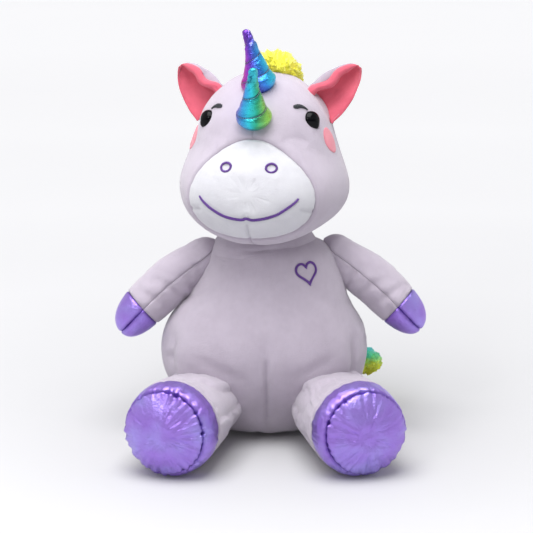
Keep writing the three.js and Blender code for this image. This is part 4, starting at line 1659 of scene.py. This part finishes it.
        piece = lens(f"{word}_eye_dome", outline, rise, place)
        dress(piece, self.kit.eye, "black_eye", "head", f"{word}_eye")
        washer = bpy.data.objects[f"{word}_eye_washer"]
        washer.data.materials.clear()
        washer.data.materials.append(self.kit.washer)

    def build(self) -> None:
        """Makes the head and its face."""
        self.shape()
        self.cover()
        self.face()


@dataclass
class Ear:
    """One ear: a velour back and a pink lining, its upper edge rolled forward."""

    kit: Kit
    head: Head
    side: Side
    length: float = 0.052
    width: float = 0.044
    sink: float = 0.005
    dip: float = 0.0050

    def _section(self, half: Array, share: Array) -> Array:
        """The ear's cross-sections, as across and forward distances, pink first from the lower edge.

        Args:
            half: The half width at places along the ear.
            share: Those places, as shares of its length.

        Returns:
            The points of each section, across and forward.
        """
        size = np.clip(half / 0.012, 0, 1)
        cup = 0.0105 * size * (1 - 0.25 * share)
        roll = 0.0042 * size * (1 - 0.15 * share)
        dip = np.exp(-(((share - 0.42) / 0.17) ** 2))
        top = half + size * (0.0012 * np.exp(-(((share - 0.12) / 0.10) ** 2)) - self.dip * dip)
        points = [
            (-half, 0 * half), (-half + 0.0012 * size, 0.0014 * size), (-0.66 * half, -0.30 * cup),
            (-0.22 * half, -0.9 * cup), (0.22 * half, -cup), (top - 2.0 * roll, -0.75 * cup),
            (top - 2.1 * roll, 0.5 * roll), (top - 1.35 * roll, 1.35 * roll), (top - 0.45 * roll, 1.2 * roll),
            (top, 0.35 * roll), (top + 0.1 * roll, -0.2 * roll), (half + 0.45 * roll, -0.6 * roll),
            (half + 0.05 * roll, -1.2 * roll), (0.30 * half, -cup - 0.0026 * size), (
                -0.25 * half, -cup - 0.0028 * size
            ),
            (-0.72 * half, -0.45 * cup - 0.0024 * size),
        ]
        return np.array([np.stack(p, axis=-1) for p in points]).transpose(1, 0, 2)

    def build(self) -> None:
        """Makes the ear's two pieces."""
        s, word = self.side.value, self.side.word
        head = self.head
        root = head.skin.point(toward(90.0 * s, 45.0), -0.0015)
        lean = 0.68 if s > 0 else 0.58
        along = unit(np.array([lean * s, 0.14, 0.72]))
        across = unit(np.array([-0.72 * s, 0.0, 0.69]))
        facing = unit(np.cross(across, along)) * s
        facing = facing if facing[1] < 0 else -facing
        share, _ = spread([-0.10, 1.0], 0.012, 0.035)
        t = np.clip(share, 0, 1)
        half = self.width / 2 * (1 - 0.10 * (1 - t) ** 2) * np.sqrt(
            np.maximum(1 - t ** 2.1, 0)
        ) * (1 - 0.20 * t)
        section = closed_curve(self._section(half, t), 7)
        if s < 0:
            section = section[:, ::-1]
        length = self.length * (1.0 if s > 0 else 0.90)
        place = root + (share * length)[:, None, None] * along
        back = -0.5 * self.sink * (1 - t)[:, None, None] * facing
        points = place + section[..., :1] * across + section[..., 1:] * facing + back
        points = np.concatenate([np.repeat(points[:1].mean(1, keepdims=True), points.shape[1], 1), points])
        rows, columns = points.shape[:2]
        edge = 10 * 7
        panels = np.zeros((rows - 1, columns), int)
        if s < 0:
            panels[:, :columns - edge] = 1
            marks = (columns - 1, columns - edge)
        else:
            panels[:, edge:] = 1
            marks = (0, edge)
        run = np.arange(0, rows)
        seams = [Seam(run, np.full(rows, c), 0.0005, 0.0010, 0.0002, 0.004) for c in marks]
        form = Form(head.world(points), panels, seams)
        form.sew()
        form.dent(0.0005, 60, 11 + s)
        form.puff(0.006, 1.0, 0.0008)
        for number, (part, finish, slot) in enumerate([
            ("ear_lining", self.kit.pink, "pink_plush"),
            ("ear_back", self.kit.velour, "velour"),
        ]):
            name = f"{word}_{part}"
            piece = dress(
                form.cut(name + "_cloth", number, 0.0012, 0.0006), finish, slot, f"{word}_ear", name
            )


@dataclass
class Horn:
    """One horn: rainbow foil over a stuffed cone, wound with thread that draws it in."""

    kit: Kit
    head: Head
    name: str
    angle: float
    lean: tuple[float, float, float]
    stops: tuple[tuple[float, Colour], ...]
    tip_colour: Colour
    seed: int
    height: float = 0.047
    start: float = 0.0015
    turns: float = 2.1

    def _radius(self, height: Array) -> Array:
        """The cone's half width, flared and rolled at the bottom.

        Args:
            height: Heights up the cone.

        Returns:
            The half width at each.
        """
        stops = [(-0.0125, 0.0090), (-0.0095, 0.0128), (-0.006, 0.0156), (-0.0025, 0.0168), (0.0005, 0.0166),
                 (0.0035, 0.0149), (0.0065, 0.0131), (0.010, 0.0119), (0.016, 0.0100), (0.023, 0.0078),
                 (0.031, 0.0059), (0.038, 0.0046), (0.043, 0.0041), (0.0455, 0.0036)]
        return through(stops, height)

    def _wind(self, turns: Array) -> tuple[Array, Array]:
        """The thread's height and angle after some turns."""
        share = turns / self.turns
        return self.start + (self.height - 0.010 - self.start) * share, -turns * 2 * math.pi + 2.6

    def build(self) -> None:
        """Makes the cover, the filling and the thread."""
        head = self.head
        root = joint_point(f"{self.name}_horn_tilt")
        lean = unit(head.matrix @ np.array(self.lean))
        across = unit(head.matrix @ np.array([1.0, 0, 0]))
        across = unit(across - lean * (across @ lean))
        front = np.cross(across, lean)
        front = front if front[1] < 0 else -front
        rise = np.concatenate(
            [np.linspace(-0.0125, 0.0455, 96), 0.0455 + 0.0036 * np.sin(np.linspace(0.12, math.pi / 2, 9))]
        )
        wide = self._radius(np.minimum(rise, 0.0455))
        wide = np.where(
            rise > 0.0455, 0.0036 * np.cos(np.arcsin(np.clip((rise - 0.0455) / 0.0036, 0, 1))), wide
        )
        angles = np.radians(np.linspace(0, 360, 97)[:-1])
        turns = np.linspace(0, self.turns, 400)
        level, _ = self._wind(turns)
        phase = np.interp(
            rise, level, turns, left=0, right=self.turns
        )[:, None] + (angles[None] - 2.6) / (2 * math.pi)
        off = np.abs((phase + 0.5) % 1 - 0.5)
        pitch = (self.height - 0.010 - self.start) / self.turns
        strength = (ease(rise, self.start - 0.008, self.start) * (1 - ease(rise, 0.040, 0.047)))[:, None]
        groove = np.exp(-((off * pitch / 0.0011) ** 2)) * 0.0007 * strength
        puff = (0.5 - 0.5 * np.cos(2 * math.pi * phase)) * 0.0003 * strength
        wrinkle = np.array([
            [
                noise.noise((math.cos(a) * 1.4, math.sin(a) * 1.4 + self.seed, h * 330 + a * 1.1))
                for a in angles
            ]
            for h in rise
        ])
        rough = 0.00030 + 0.0013 * ease(rise, 0.024, 0.038)[:, None]
        r = np.maximum(
            wide[:, None] - groove + puff + wrinkle * rough * np.minimum(1, wide / 0.004)[:, None], 0
        )
        sway = 0.0008 * np.sin(rise * 90 + self.seed)[:, None]
        ring = (np.cos(angles) * r + sway)[..., None] * across + (np.sin(angles) * r)[..., None] * front
        points = root + rise[:, None, None] * lean + ring
        points[-1] = points[-1].mean(0)
        base = np.repeat((root - lean * 0.0125)[None, None], len(angles), axis=1)
        form = Form(np.concatenate([base, points]), np.zeros((len(rise), len(angles))))
        body = f"{self.name}_horn"
        cone = form.cut(body + "_cloth", 0, wall=0.0006)
        # How near each point is to the thread's groove, which the foil darkens as painted shade.
        mark = np.concatenate([np.zeros((1, len(angles))), np.exp(-((off * pitch / 0.0016) ** 2)) * strength])
        form.tag(cone, mark.ravel())
        own = Rainbow(
            f"{self.name}_horn_foil", tuple(root), tuple(across), tuple(lean), self.stops, self.tip_colour
        )
        dress(cone, own.make(), "horn_foil", body, f"{self.name}_horn_cover")
        core = dress(
            form.core(body + "_filling", 0.0012), self.kit.fill, "fibre_fill", body,
            f"{self.name}_horn_stuffing"
        )
        turns = np.linspace(0.0, self.turns - 0.1, 220)
        level, angle = self._wind(turns)
        reach = np.interp(level, rise, wide) - 0.0002
        out = np.cos(angle)[:, None] * across + np.sin(angle)[:, None] * front
        line = root + level[:, None] * lean + reach[:, None] * out + (
            0.0008 * np.sin(level * 90 + self.seed)
        )[:, None] * across
        path = path_object(line, out, np.full(len(line), 0.00036))
        values = {"Spacing": 0.0021, "Reach": 0.00078, "Thickness": 0.00036, "Slant": 0.12, "Seed": self.seed}
        thread = self.kit.stitching.cook(body + "_stitching", path, Material=self.kit.silver, **values)
        dress(thread, self.kit.silver, "silver_thread", body, f"{self.name}_horn_thread")


@dataclass
class Mane:
    """The fur down the back of the head, fullest at the crown."""

    kit: Kit
    head: Head
    width: float = 0.021
    height: float = 0.0125

    def build(self) -> None:
        """Makes the backing strip and its fur."""
        head = self.head
        rise = np.linspace(97, 178, 40)
        across = np.linspace(0, 2 * math.pi, 17)[:-1]
        full = 0.14 + 0.86 * np.sin(math.pi * np.clip((rise - 90) / 90, 0, 1)) ** 0.55
        rows = []
        for angle, size in zip(rise, full):
            side = (
                np.cos(across) * self.width / 2 * size + 0.007 * float(ease(np.array(angle), 150, 97))
            ) / 0.085
            way = np.column_stack([
                side, np.full(16, -math.cos(math.radians(angle))), np.full(16, math.sin(math.radians(angle))),
            ])
            rows.append(head.set_down(head.skin.point(way), 0.0012 + 0.0016 * np.sin(across)))
        points = np.array(rows)
        ends = [np.repeat(points[i:i + 1].mean(1, keepdims=True), 16, 1) for i in (0, -1)]
        form = Form(np.concatenate([ends[0], points, ends[1]]), np.zeros((len(rise) + 1, 16)))
        strip = form.core("mane_backing", -0.0002)
        normals = np.array([v.normal for v in strip.data.vertices])
        place = np.array([v.co for v in strip.data.vertices])
        local = head.local(place)
        crown = ease(local[:, 2], 0.03, 0.08)[:, None]
        back = np.array([0.28, 0.55, -0.9]) * (1 - crown) + np.array([0.80, -0.05, 0.40]) * crown
        comb = normals * (0.75 + 0.5 * crown) + back @ head.matrix.T
        strip.data.attributes.new("comb", "FLOAT_VECTOR", "POINT").data.foreach_set(
            "vector", comb.astype(np.float32).ravel()
        )
        stops = ((0.0, (0.95, 0.90, 0.06)), (0.30, (0.93, 0.92, 0.05)), (0.46, (0.25, 0.75, 0.20)),
                 (0.66, (0.06, 0.62, 0.62)), (1.0, (0.16, 0.30, 0.80)))
        down = Fibre("mane_fur", (0, 0, 0.362), (0, 0, -1), 0.125, stops).make()
        values = {"Density": 1.35e6, "Length": self.height, "Radius": 0.011, "Loose": 0.75, "Seed": 3}
        fur = self.kit.pelt.cook("mane_fur", strip, Material=down, **values)
        dress(fur, down, "rainbow_fur", "head", "mane")


@dataclass
class Tail:
    """The fur tail, swept round to the toy's left."""

    kit: Kit
    radius: float = 0.0070
    length: float = 0.0095

    def build(self) -> None:
        """Makes the stuffed core and its fur."""
        root = joint_point("tail_wag")
        stops = np.array([[0, 0, 0], [0.024, 0.010, 0.003], [0.066, 0.008, 0], [0.110, -0.009, -0.008]])
        dense = open_curve(root + stops, 14)
        way = unit(np.gradient(dense, axis=0))
        share = np.linspace(0, 1, len(dense))
        above = unit(UP - way * (way @ UP)[:, None])
        aside = np.cross(way, above)
        across = np.linspace(0, 2 * math.pi, 17)[:-1]
        wide = self.radius * (0.5 + 0.5 * ease(share, 0, 0.4)) * np.sqrt(np.clip(1 - share ** 6, 0, 1))
        ring = np.cos(across)[None, :, None] * aside[:, None] + np.sin(across)[None, :, None] * above[:, None]
        points = dense[:, None] + ring * wide[:, None, None]
        base = np.repeat((dense[:1] - way[:1] * 0.003)[:, None], 16, 1)
        form = Form(np.concatenate([base, points]), np.zeros((len(dense), 16)))
        core = form.core("tail_backing", 0.0)
        tree = kdtree.KDTree(len(dense))
        for i, p in enumerate(dense):
            tree.insert(p, i)
        tree.balance()
        comb = np.array(
            [np.array(v.normal) * 0.8 + way[tree.find(v.co)[1]] * 1.1 - UP * 0.1 for v in core.data.vertices]
        )
        core.data.attributes.new("comb", "FLOAT_VECTOR", "POINT").data.foreach_set(
            "vector", comb.astype(np.float32).ravel()
        )
        colours = ((0.0, (0.90, 0.90, 0.05)), (0.33, (0.72, 0.85, 0.06)), (0.5, (0.10, 0.66, 0.25)),
                   (0.72, (0.04, 0.60, 0.62)), (1.0, (0.12, 0.45, 0.85)))
        low = float(root[2] - 0.022)
        finish = Fibre("tail_fur", (0, 0, low), (0, 0, 1), 0.044, colours).make()
        values = {"Density": 1.3e6, "Length": self.length, "Radius": 0.017, "Loose": 0.55, "Seed": 5}
        fur = self.kit.pelt.cook("tail_fur", core, Material=finish, **values)
        dress(fur, finish, "rainbow_fur", "tail", "tail")


@dataclass
class Limb:
    """A stuffed limb lofted along a line, ending in foil."""

    kit: Kit
    side: Side
    root: tuple[float, float, float]
    root_radius: float
    full: float
    swell: float
    tip_start: float
    length: float

    def outline(self) -> tuple[Array, Array]:
        """The limb's half width at places along it, from the back of its root to its tip.

        Returns:
            The places, and the half width at each.
        """
        back = -self.root_radius * np.cos(np.linspace(0, math.pi / 2, 24))
        body = np.linspace(0, self.tip_start, 60)[1:]
        turn = np.linspace(0, math.pi / 2, 40)[1:]
        tip = self.tip_start + (self.length - self.tip_start) * np.sin(turn)
        s = np.concatenate([back, body, tip])
        u = np.clip((s - self.tip_start) / (self.length - self.tip_start), 0, 1)
        grow = np.clip(s / self.swell, 0, 1)
        r = self.root_radius + (self.full - self.root_radius) * grow * grow * (3 - 2 * grow)
        r = np.where(s <= 0, np.sqrt(np.maximum(self.root_radius ** 2 - s ** 2, 0)), r)
        return s, np.where(u > 0, self.full * np.maximum(1 - u ** 2.4, 0) ** (1 / 2.4), r)

    def rows(self, marks: Sequence[float], fine: float, coarse: float) -> tuple[Array, Array, list[int]]:
        """Places along the limb that crowd at its seams, with the half width at each.

        Args:
            marks: Where the seams cross the limb.
            fine: The step beside a seam.
            coarse: The largest step.

        Returns:
            The places, the half widths, and the index of each seam.
        """
        s, r = self.outline()
        run = np.concatenate([[0], np.cumsum(np.hypot(np.diff(s), np.diff(r)))])
        stops = [0.0, *[float(np.interp(m, s, run)) for m in marks], float(run[-1])]
        places, found = spread(stops, fine, coarse)
        return np.interp(places, run, s), np.interp(places, run, r), found[1:-1]


class Arm(Limb):
    """One arm: outer and inner panels and a foil hoof in two halves."""

    def __init__(self, kit: Kit, side: Side) -> None:
        """Sets the arm's sizes.

        Args:
            kit: The finishes.
            side: Which arm it is.
        """
        shoulder = joint_point(f"{side.word}_arm_raise")
        self.hoof = 0.033
        self.tip = shoulder + np.array([0.085 * side.value, -0.016, -0.075])
        length = float(np.linalg.norm(self.tip - shoulder))
        super().__init__(
            kit, side, tuple(shoulder), 0.018, 0.0225, length * 0.35, length - self.hoof - 0.012, length
        )

    def build(self) -> None:
        """Makes the arm's pieces."""
        s, word = self.side.value, self.side.word
        root = np.array(self.root)
        along = unit(self.tip - root)
        bow = unit(np.array([-along[2] * s, 0, abs(along[0])]))
        front = unit(np.cross(along, bow))
        front = front if front[1] < 0 else -front
        place, wide, (border,) = self.rows([self.length - self.hoof], 0.0008, 0.0026)
        angles, (_, back, _) = spread([0, 180, 360], 4.0, 8.5)
        a = np.radians(angles[:-1])
        lift = 0.004 * np.sin(math.pi * np.clip(place / self.length, 0, 1))
        middle = root + place[:, None] * along + lift[:, None] * bow
        ring = np.cos(a)[:, None] * front + np.sin(a)[:, None] * bow
        points = middle[:, None] + ring * (wide[:, None, None] - 0.0006)
        points[[0, -1]] = middle[[0, -1], None]
        rows, columns = points.shape[:2]
        panels = np.zeros((rows - 1, columns), int)
        panels[:, back:] = 1
        panels[border:] += 2
        run, around = np.arange(rows), np.append(np.arange(columns), 0)
        seams = [Seam(run, np.full(rows, c), 0.0012, 0.0013, 0.0005, 0.006) for c in (0, back)]
        seams.append(Seam(np.full(columns + 1, border), around, 0.0012, 0.0013, 0.0007, 0.007))
        form = Form(points, panels, seams)
        form.sew()
        form.dent(0.0012, 36, 21 + s)
        form.fold(self._creases(middle, ring, wide, place))
        form.puff(0.028, 3.0, 0.0028)
        velour, foil = self.kit.velour, self.kit.foil
        for number, (part, finish, slot) in enumerate([
            ("arm_outer_panel", velour, "velour"), ("arm_inner_panel", velour, "velour"),
            ("hoof_outer_panel", foil, "hoof_foil"), ("hoof_inner_panel", foil, "hoof_foil"),
        ]):
            name = f"{word}_{part}"
            piece = dress(form.cut(name + "_cloth", number, 0.0016), finish, slot, f"{word}_arm", name)
        core = form.core(f"{word}_arm_filling", 0.0050)
        dress(core, self.kit.fill, "fibre_fill", f"{word}_arm", f"{word}_arm_stuffing")

    def _creases(
        self, middle: Array, ring: Array, wide: Array, place: Array
    ) -> list[tuple[Array, float, float]]:
        """Soft folds across the arm, where it bends.

        Args:
            middle: The middle of each row.
            ring: The direction of each column.
            wide: The half width of each row.
            place: Where each row is along the arm.

        Returns:
            Each fold's points, depth and width.
        """
        found = []
        turn = np.linspace(0, 1, 14)
        columns = ring.shape[0]
        for start, slope, low, high, depth in (
            (0.36, 0.08, -70, 40, 0.0016), (0.52, 0.10, -60, 70, 0.0014),
            (0.27, -0.05, -80, 10, 0.0016), (0.45, -0.06, 110, 200, 0.0012),
        ):
            level = (start + slope * turn) * self.length
            rows = np.searchsorted(place, level).clip(0, len(place) - 1)
            column = (np.round((low + (high - low) * turn) / 360 * columns).astype(int)) % columns
            found.append((middle[rows] + ring[column] * wide[rows, None], depth, 0.0032))
        return found


class Leg(Limb):
    """One leg: a velour tube, a foil band and a foil sole with gathers along its seam."""

    def __init__(self, kit: Kit, side: Side) -> None:
        """Sets the leg's sizes.

        Args:
            kit: The finishes.
            side: Which leg it is.
        """
        hip = joint_point(f"{side.word}_leg_lift")
        self.foot = 0.038
        self.slant = 0.0065 if side is Side.LEFT else 0.0030
        super().__init__(kit, side, tuple(hip), 0.044, 0.044, 0.001, 0.133 - 0.7 * self.foot, 0.133)

    def build(self) -> None:
        """Makes the leg's pieces."""
        s, word = self.side.value, self.side.word
        root = np.array(self.root)
        aside = -np.array(JOINTS[f"{word}_leg_lift"]["axis"], float)
        along = np.array([aside[1], -aside[0], 0])
        reach, half = self.outline()
        run = np.concatenate([[0], np.cumsum(np.hypot(np.diff(reach), np.diff(half)))])
        marks = [float(np.interp(self.length - back, reach, run)) for back in (self.foot, 0.0115)]
        places, (_, border, edge, _) = spread([0.0, *marks, float(run[-1])], 0.0008, 0.0024)
        angles, _ = spread([-90, 270], 1.5, 2.0)
        a = np.radians(angles[:-1])
        outer = np.cos(a) * s
        sole = np.interp(places, [marks[0], marks[1], run[-1]], [0, 1, 0])
        band = np.interp(places, [marks[0] - 0.03, marks[0], marks[1]], [0, 1, 0])
        slide = sole[:, None] * (-0.0020 - 0.0055 * outer) + band[:, None] * (0.0015 - self.slant * outer)
        place = np.interp(places[:, None] + slide, run, reach)
        wide = np.maximum(np.interp(places[:, None] + slide, run, half) - 0.0006, 0)
        ring = np.cos(a)[:, None] * aside + np.sin(a)[:, None] * UP
        points = root + place[..., None] * along + ring * wide[..., None]
        points[[0, -1]] = points[[0, -1]].mean(1, keepdims=True)
        tuck = (1 - ease(place, 0.020, 0.098)) * ease(np.sin(a), -0.1, 1.0) * 0.0125
        points[..., 2] -= tuck
        rows, columns = points.shape[:2]
        panels = np.zeros((rows - 1, columns), int)
        panels[border:] = 1
        panels[edge:] = 2
        around = np.append(np.arange(columns), 0)
        under = np.arange(0, edge + 1)
        seams = [
            Seam(np.full(columns + 1, border), around, 0.0013, 0.0014, 0.0008, 0.008, 170),
            Seam(np.full(columns + 1, edge), around, 0.0020, 0.0013, 0.0008, 0.0085, 200),
            Seam(under, np.zeros(len(under), int), 0.0010, 0.0013, 0.0004, 0.006),
        ]
        form = Form(points, panels, seams)
        form.sew()
        form.dent(0.0014, 24, 31 + s)
        form.puff(0.014, 2.6, 0.0028)
        form.move(self._gathers(form, a, edge, border))
        form.rest(0.0009)
        for number, (part, finish, slot) in enumerate([
            ("leg_cover", self.kit.velour, "velour"),
            ("foot_band", self.kit.foil, "hoof_foil"), ("foot_sole", self.kit.foil, "hoof_foil"),
        ]):
            name = f"{word}_{part}"
            piece = dress(form.cut(name + "_cloth", number, 0.0018), finish, slot, f"{word}_leg", name)
        core = form.core(f"{word}_leg_filling", 0.0075)
        dress(core, self.kit.fill, "fibre_fill", f"{word}_leg", f"{word}_leg_stuffing")


    def _gathers(self, form: Form, angles: Array, edge: int, border: int) -> Array:
        """Creases that run out from the foot's two seams, where the foil is gathered to fit.

        Args:
            form: The leg.
            angles: The angle of each column, in radians.
            edge: The row of the sole's seam.
            border: The row where the foil starts.

        Returns:
            How far each point of the form moves along its normal.
        """
        draw = np.random.default_rng(50 + self.side.value)
        grid = form.vertices[form.number]
        step = np.linalg.norm(np.diff(grid, axis=0), axis=2).mean(1)
        run = np.concatenate([[0], np.cumsum(step)])
        total = np.zeros(grid.shape[:2])
        for row, count, deep, short, long in (
            (edge, 38, 0.0017, 0.003, 0.012), (border, 30, 0.0006, 0.002, 0.006)
        ):
            for _ in range(count):
                spot, depth = draw.uniform(0, 2 * math.pi), deep * draw.uniform(0.35, 1.0)
                reach, width, bend = draw.uniform(short, long), draw.uniform(
                    0.0013, 0.0024
                ), draw.uniform(-4, 4)
                off = run - run[row]
                turn = angles[None] - spot - (bend * off)[:, None]
                around = np.abs((turn + math.pi) % (2 * math.pi) - math.pi) * 0.038
                fade = np.exp(-((np.abs(off) / np.where(off > 0, reach, reach * 0.5)) ** 1.5))
                total -= depth * fade[:, None] * (
                    np.exp(-((around / width) ** 2)) - 0.4 * np.exp(-(((around - 1.9 * width) / width) ** 2))
                )
        offsets = np.zeros(len(form.vertices))
        offsets[form.number] = total
        return offsets


@dataclass(frozen=True)
class Studio:
    """A pale floor, soft light and the camera."""

    tent: Colour = (0.80, 0.80, 0.81)
    opening: Colour = (0.10, 0.10, 0.12)
    ceiling: Colour = (0.50, 0.50, 0.52)
    backdrop: Colour = (0.940, 0.940, 0.955)
    reach: float = 6.0
    glow: tuple[tuple[float, float], ...] = (
        (0.15, 0.01), (0.31, 0.10), (0.68, 0.26), (1.33, 0.44), (1.85, 0.50), (2.6, 0.56), (6.0, 0.60))

    def build(self) -> None:
        """Sets up the floor, the lights and the camera."""
        look = Look("floor")
        grain = look.noise(3, 2, 0.5)
        look.set(
            Base_Color=look.mix((0.56, 0.56, 0.57), (0.545, 0.545, 0.555), grain), Roughness=0.75 + 0.1
            * grain
        )
        away = Wire(
            look, look.node("ShaderNodeVectorMath", {"operation": "LENGTH"}, {0: look.place}).outputs["Value"]
        )
        glow = [(reach / self.reach, (level, level, level * 1.01)) for reach, level in self.glow]
        look.set(Emission_Color=look.ramp(away * (1 / self.reach), glow), Emission_Strength=1.0)
        size = 40.0
        corners = np.array([[-size, -size, 0], [size, -size, 0], [size, size, 0], [-size, size, 0]])
        floor = mesh_object("floor", corners, [[0, 1, 2, 3]])
        floor.data.materials.append(look.material)
        self._room()
        self._lamp("top", (-0.15, -0.40, 1.5), 1.2, 28)
        self._lamp("side", (-0.55, -1.1, 0.95), 0.15, 2)
        bpy.context.scene.view_settings.view_transform = "Standard"
        camera = bpy.data.objects.new("camera", bpy.data.cameras.new("camera"))
        camera.data.lens = 99
        camera.data.sensor_width = 36
        aim, far, rise = np.array([0, 0, 0.165]), 1.466, math.radians(12)
        camera.location = aim + far * np.array([0, -math.cos(rise), math.sin(rise)])
        camera.rotation_euler = (math.pi / 2 - rise, 0, 0)
        bpy.context.scene.collection.objects.link(camera)
        bpy.context.scene.camera = camera

    def _room(self) -> None:
        """Lights the scene as a white tent, open and darker towards the front."""
        world = bpy.data.worlds.new("room")
        world.use_nodes = True
        bpy.context.scene.world = world
        tree = world.node_tree
        tree.nodes.clear()
        parts = tree.nodes.new("ShaderNodeSeparateXYZ")
        tree.links.new(tree.nodes.new("ShaderNodeTexCoord").outputs["Generated"], parts.inputs[0])
        masks = []
        for output, low, high in ((1, -0.15, -0.75), (2, 0.50, 0.22), (2, -0.10, 0.10)):
            step = tree.nodes.new("ShaderNodeMapRange")
            step.interpolation_type = "SMOOTHSTEP"
            step.inputs[1].default_value, step.inputs[2].default_value = low, high
            tree.links.new(parts.outputs[output], step.inputs[0])
            masks.append(step.outputs[0])
        for mask in masks[1:]:
            both = tree.nodes.new("ShaderNodeMath")
            both.operation = "MULTIPLY"
            tree.links.new(masks[0], both.inputs[0])
            tree.links.new(mask, both.inputs[1])
            masks[0] = both.outputs[0]
        tone = tree.nodes.new("ShaderNodeMix")
        tone.data_type = "RGBA"
        tree.links.new(masks[0], tone.inputs[0])
        tone.inputs[6].default_value = (*self.tent, 1)
        tone.inputs[7].default_value = (*self.opening, 1)
        above = tree.nodes.new("ShaderNodeMapRange")
        above.inputs[1].default_value, above.inputs[2].default_value = 0.35, 0.80
        tree.links.new(parts.outputs[2], above.inputs[0])
        roof = tree.nodes.new("ShaderNodeMix")
        roof.data_type = "RGBA"
        tree.links.new(above.outputs[0], roof.inputs[0])
        tree.links.new(tone.outputs[2], roof.inputs[6])
        roof.inputs[7].default_value = (*self.ceiling, 1)
        backdrop = tree.nodes.new("ShaderNodeMix")
        backdrop.data_type = "RGBA"
        tree.links.new(tree.nodes.new("ShaderNodeLightPath").outputs["Is Camera Ray"], backdrop.inputs[0])
        tree.links.new(roof.outputs[2], backdrop.inputs[6])
        backdrop.inputs[7].default_value = (*self.backdrop, 1)
        light = tree.nodes.new("ShaderNodeBackground")
        tree.links.new(backdrop.outputs[2], light.inputs[0])
        tree.links.new(light.outputs[0], tree.nodes.new("ShaderNodeOutputWorld").inputs[0])

    def _lamp(self, name: str, place: Sequence[float], size: float, power: float) -> None:
        """A square soft light aimed at the toy.

        Args:
            name: Its name.
            place: Where it hangs.
            size: The length of its side.
            power: Its power, in watts.
        """
        lamp = bpy.data.lights.new(name, "AREA")
        lamp.size = size
        lamp.energy = power
        made = bpy.data.objects.new(name, lamp)
        made.location = place
        made.rotation_euler = (Vector((0, 0, 0.18)) - Vector(place)).to_track_quat("-Z", "Y").to_euler()
        bpy.context.scene.collection.objects.link(made)


def main() -> None:
    """Builds the toy's sub-assemblies in order."""
    logging.basicConfig(level=logging.INFO, format="%(name)s: %(message)s")
    Studio().build()
    kit = Kit()
    Torso(kit).build()
    Neck(kit).build()
    head = Head(kit)
    head.build()
    for side in Side:
        Ear(kit, head, side).build()
        Arm(kit, side).build()
        Leg(kit, side).build()
    front = ((0.0, (0.22, 0.16, 0.72)), (0.22, (0.06, 0.36, 0.76)), (0.48, (0.04, 0.58, 0.70)),
             (0.72, (0.04, 0.42, 0.22)), (1.0, (0.34, 0.72, 0.10)))
    rear = ((0.0, (0.66, 0.05, 0.46)), (0.25, (0.36, 0.05, 0.56)), (0.5, (0.12, 0.07, 0.56)),
            (0.75, (0.05, 0.25, 0.78)), (1.0, (0.04, 0.58, 0.80)))
    Horn(kit, head, "front", 42, (0.09, -0.42, 0.91), front, (0.05, 0.50, 0.66), 2).build()
    Horn(kit, head, "rear", 69, (-0.2, -0.16, 0.96), rear, (0.20, 0.05, 0.50), 6).build()
    Mane(kit, head).build()
    Tail(kit).build()


if __name__ == "__main__":
    main()
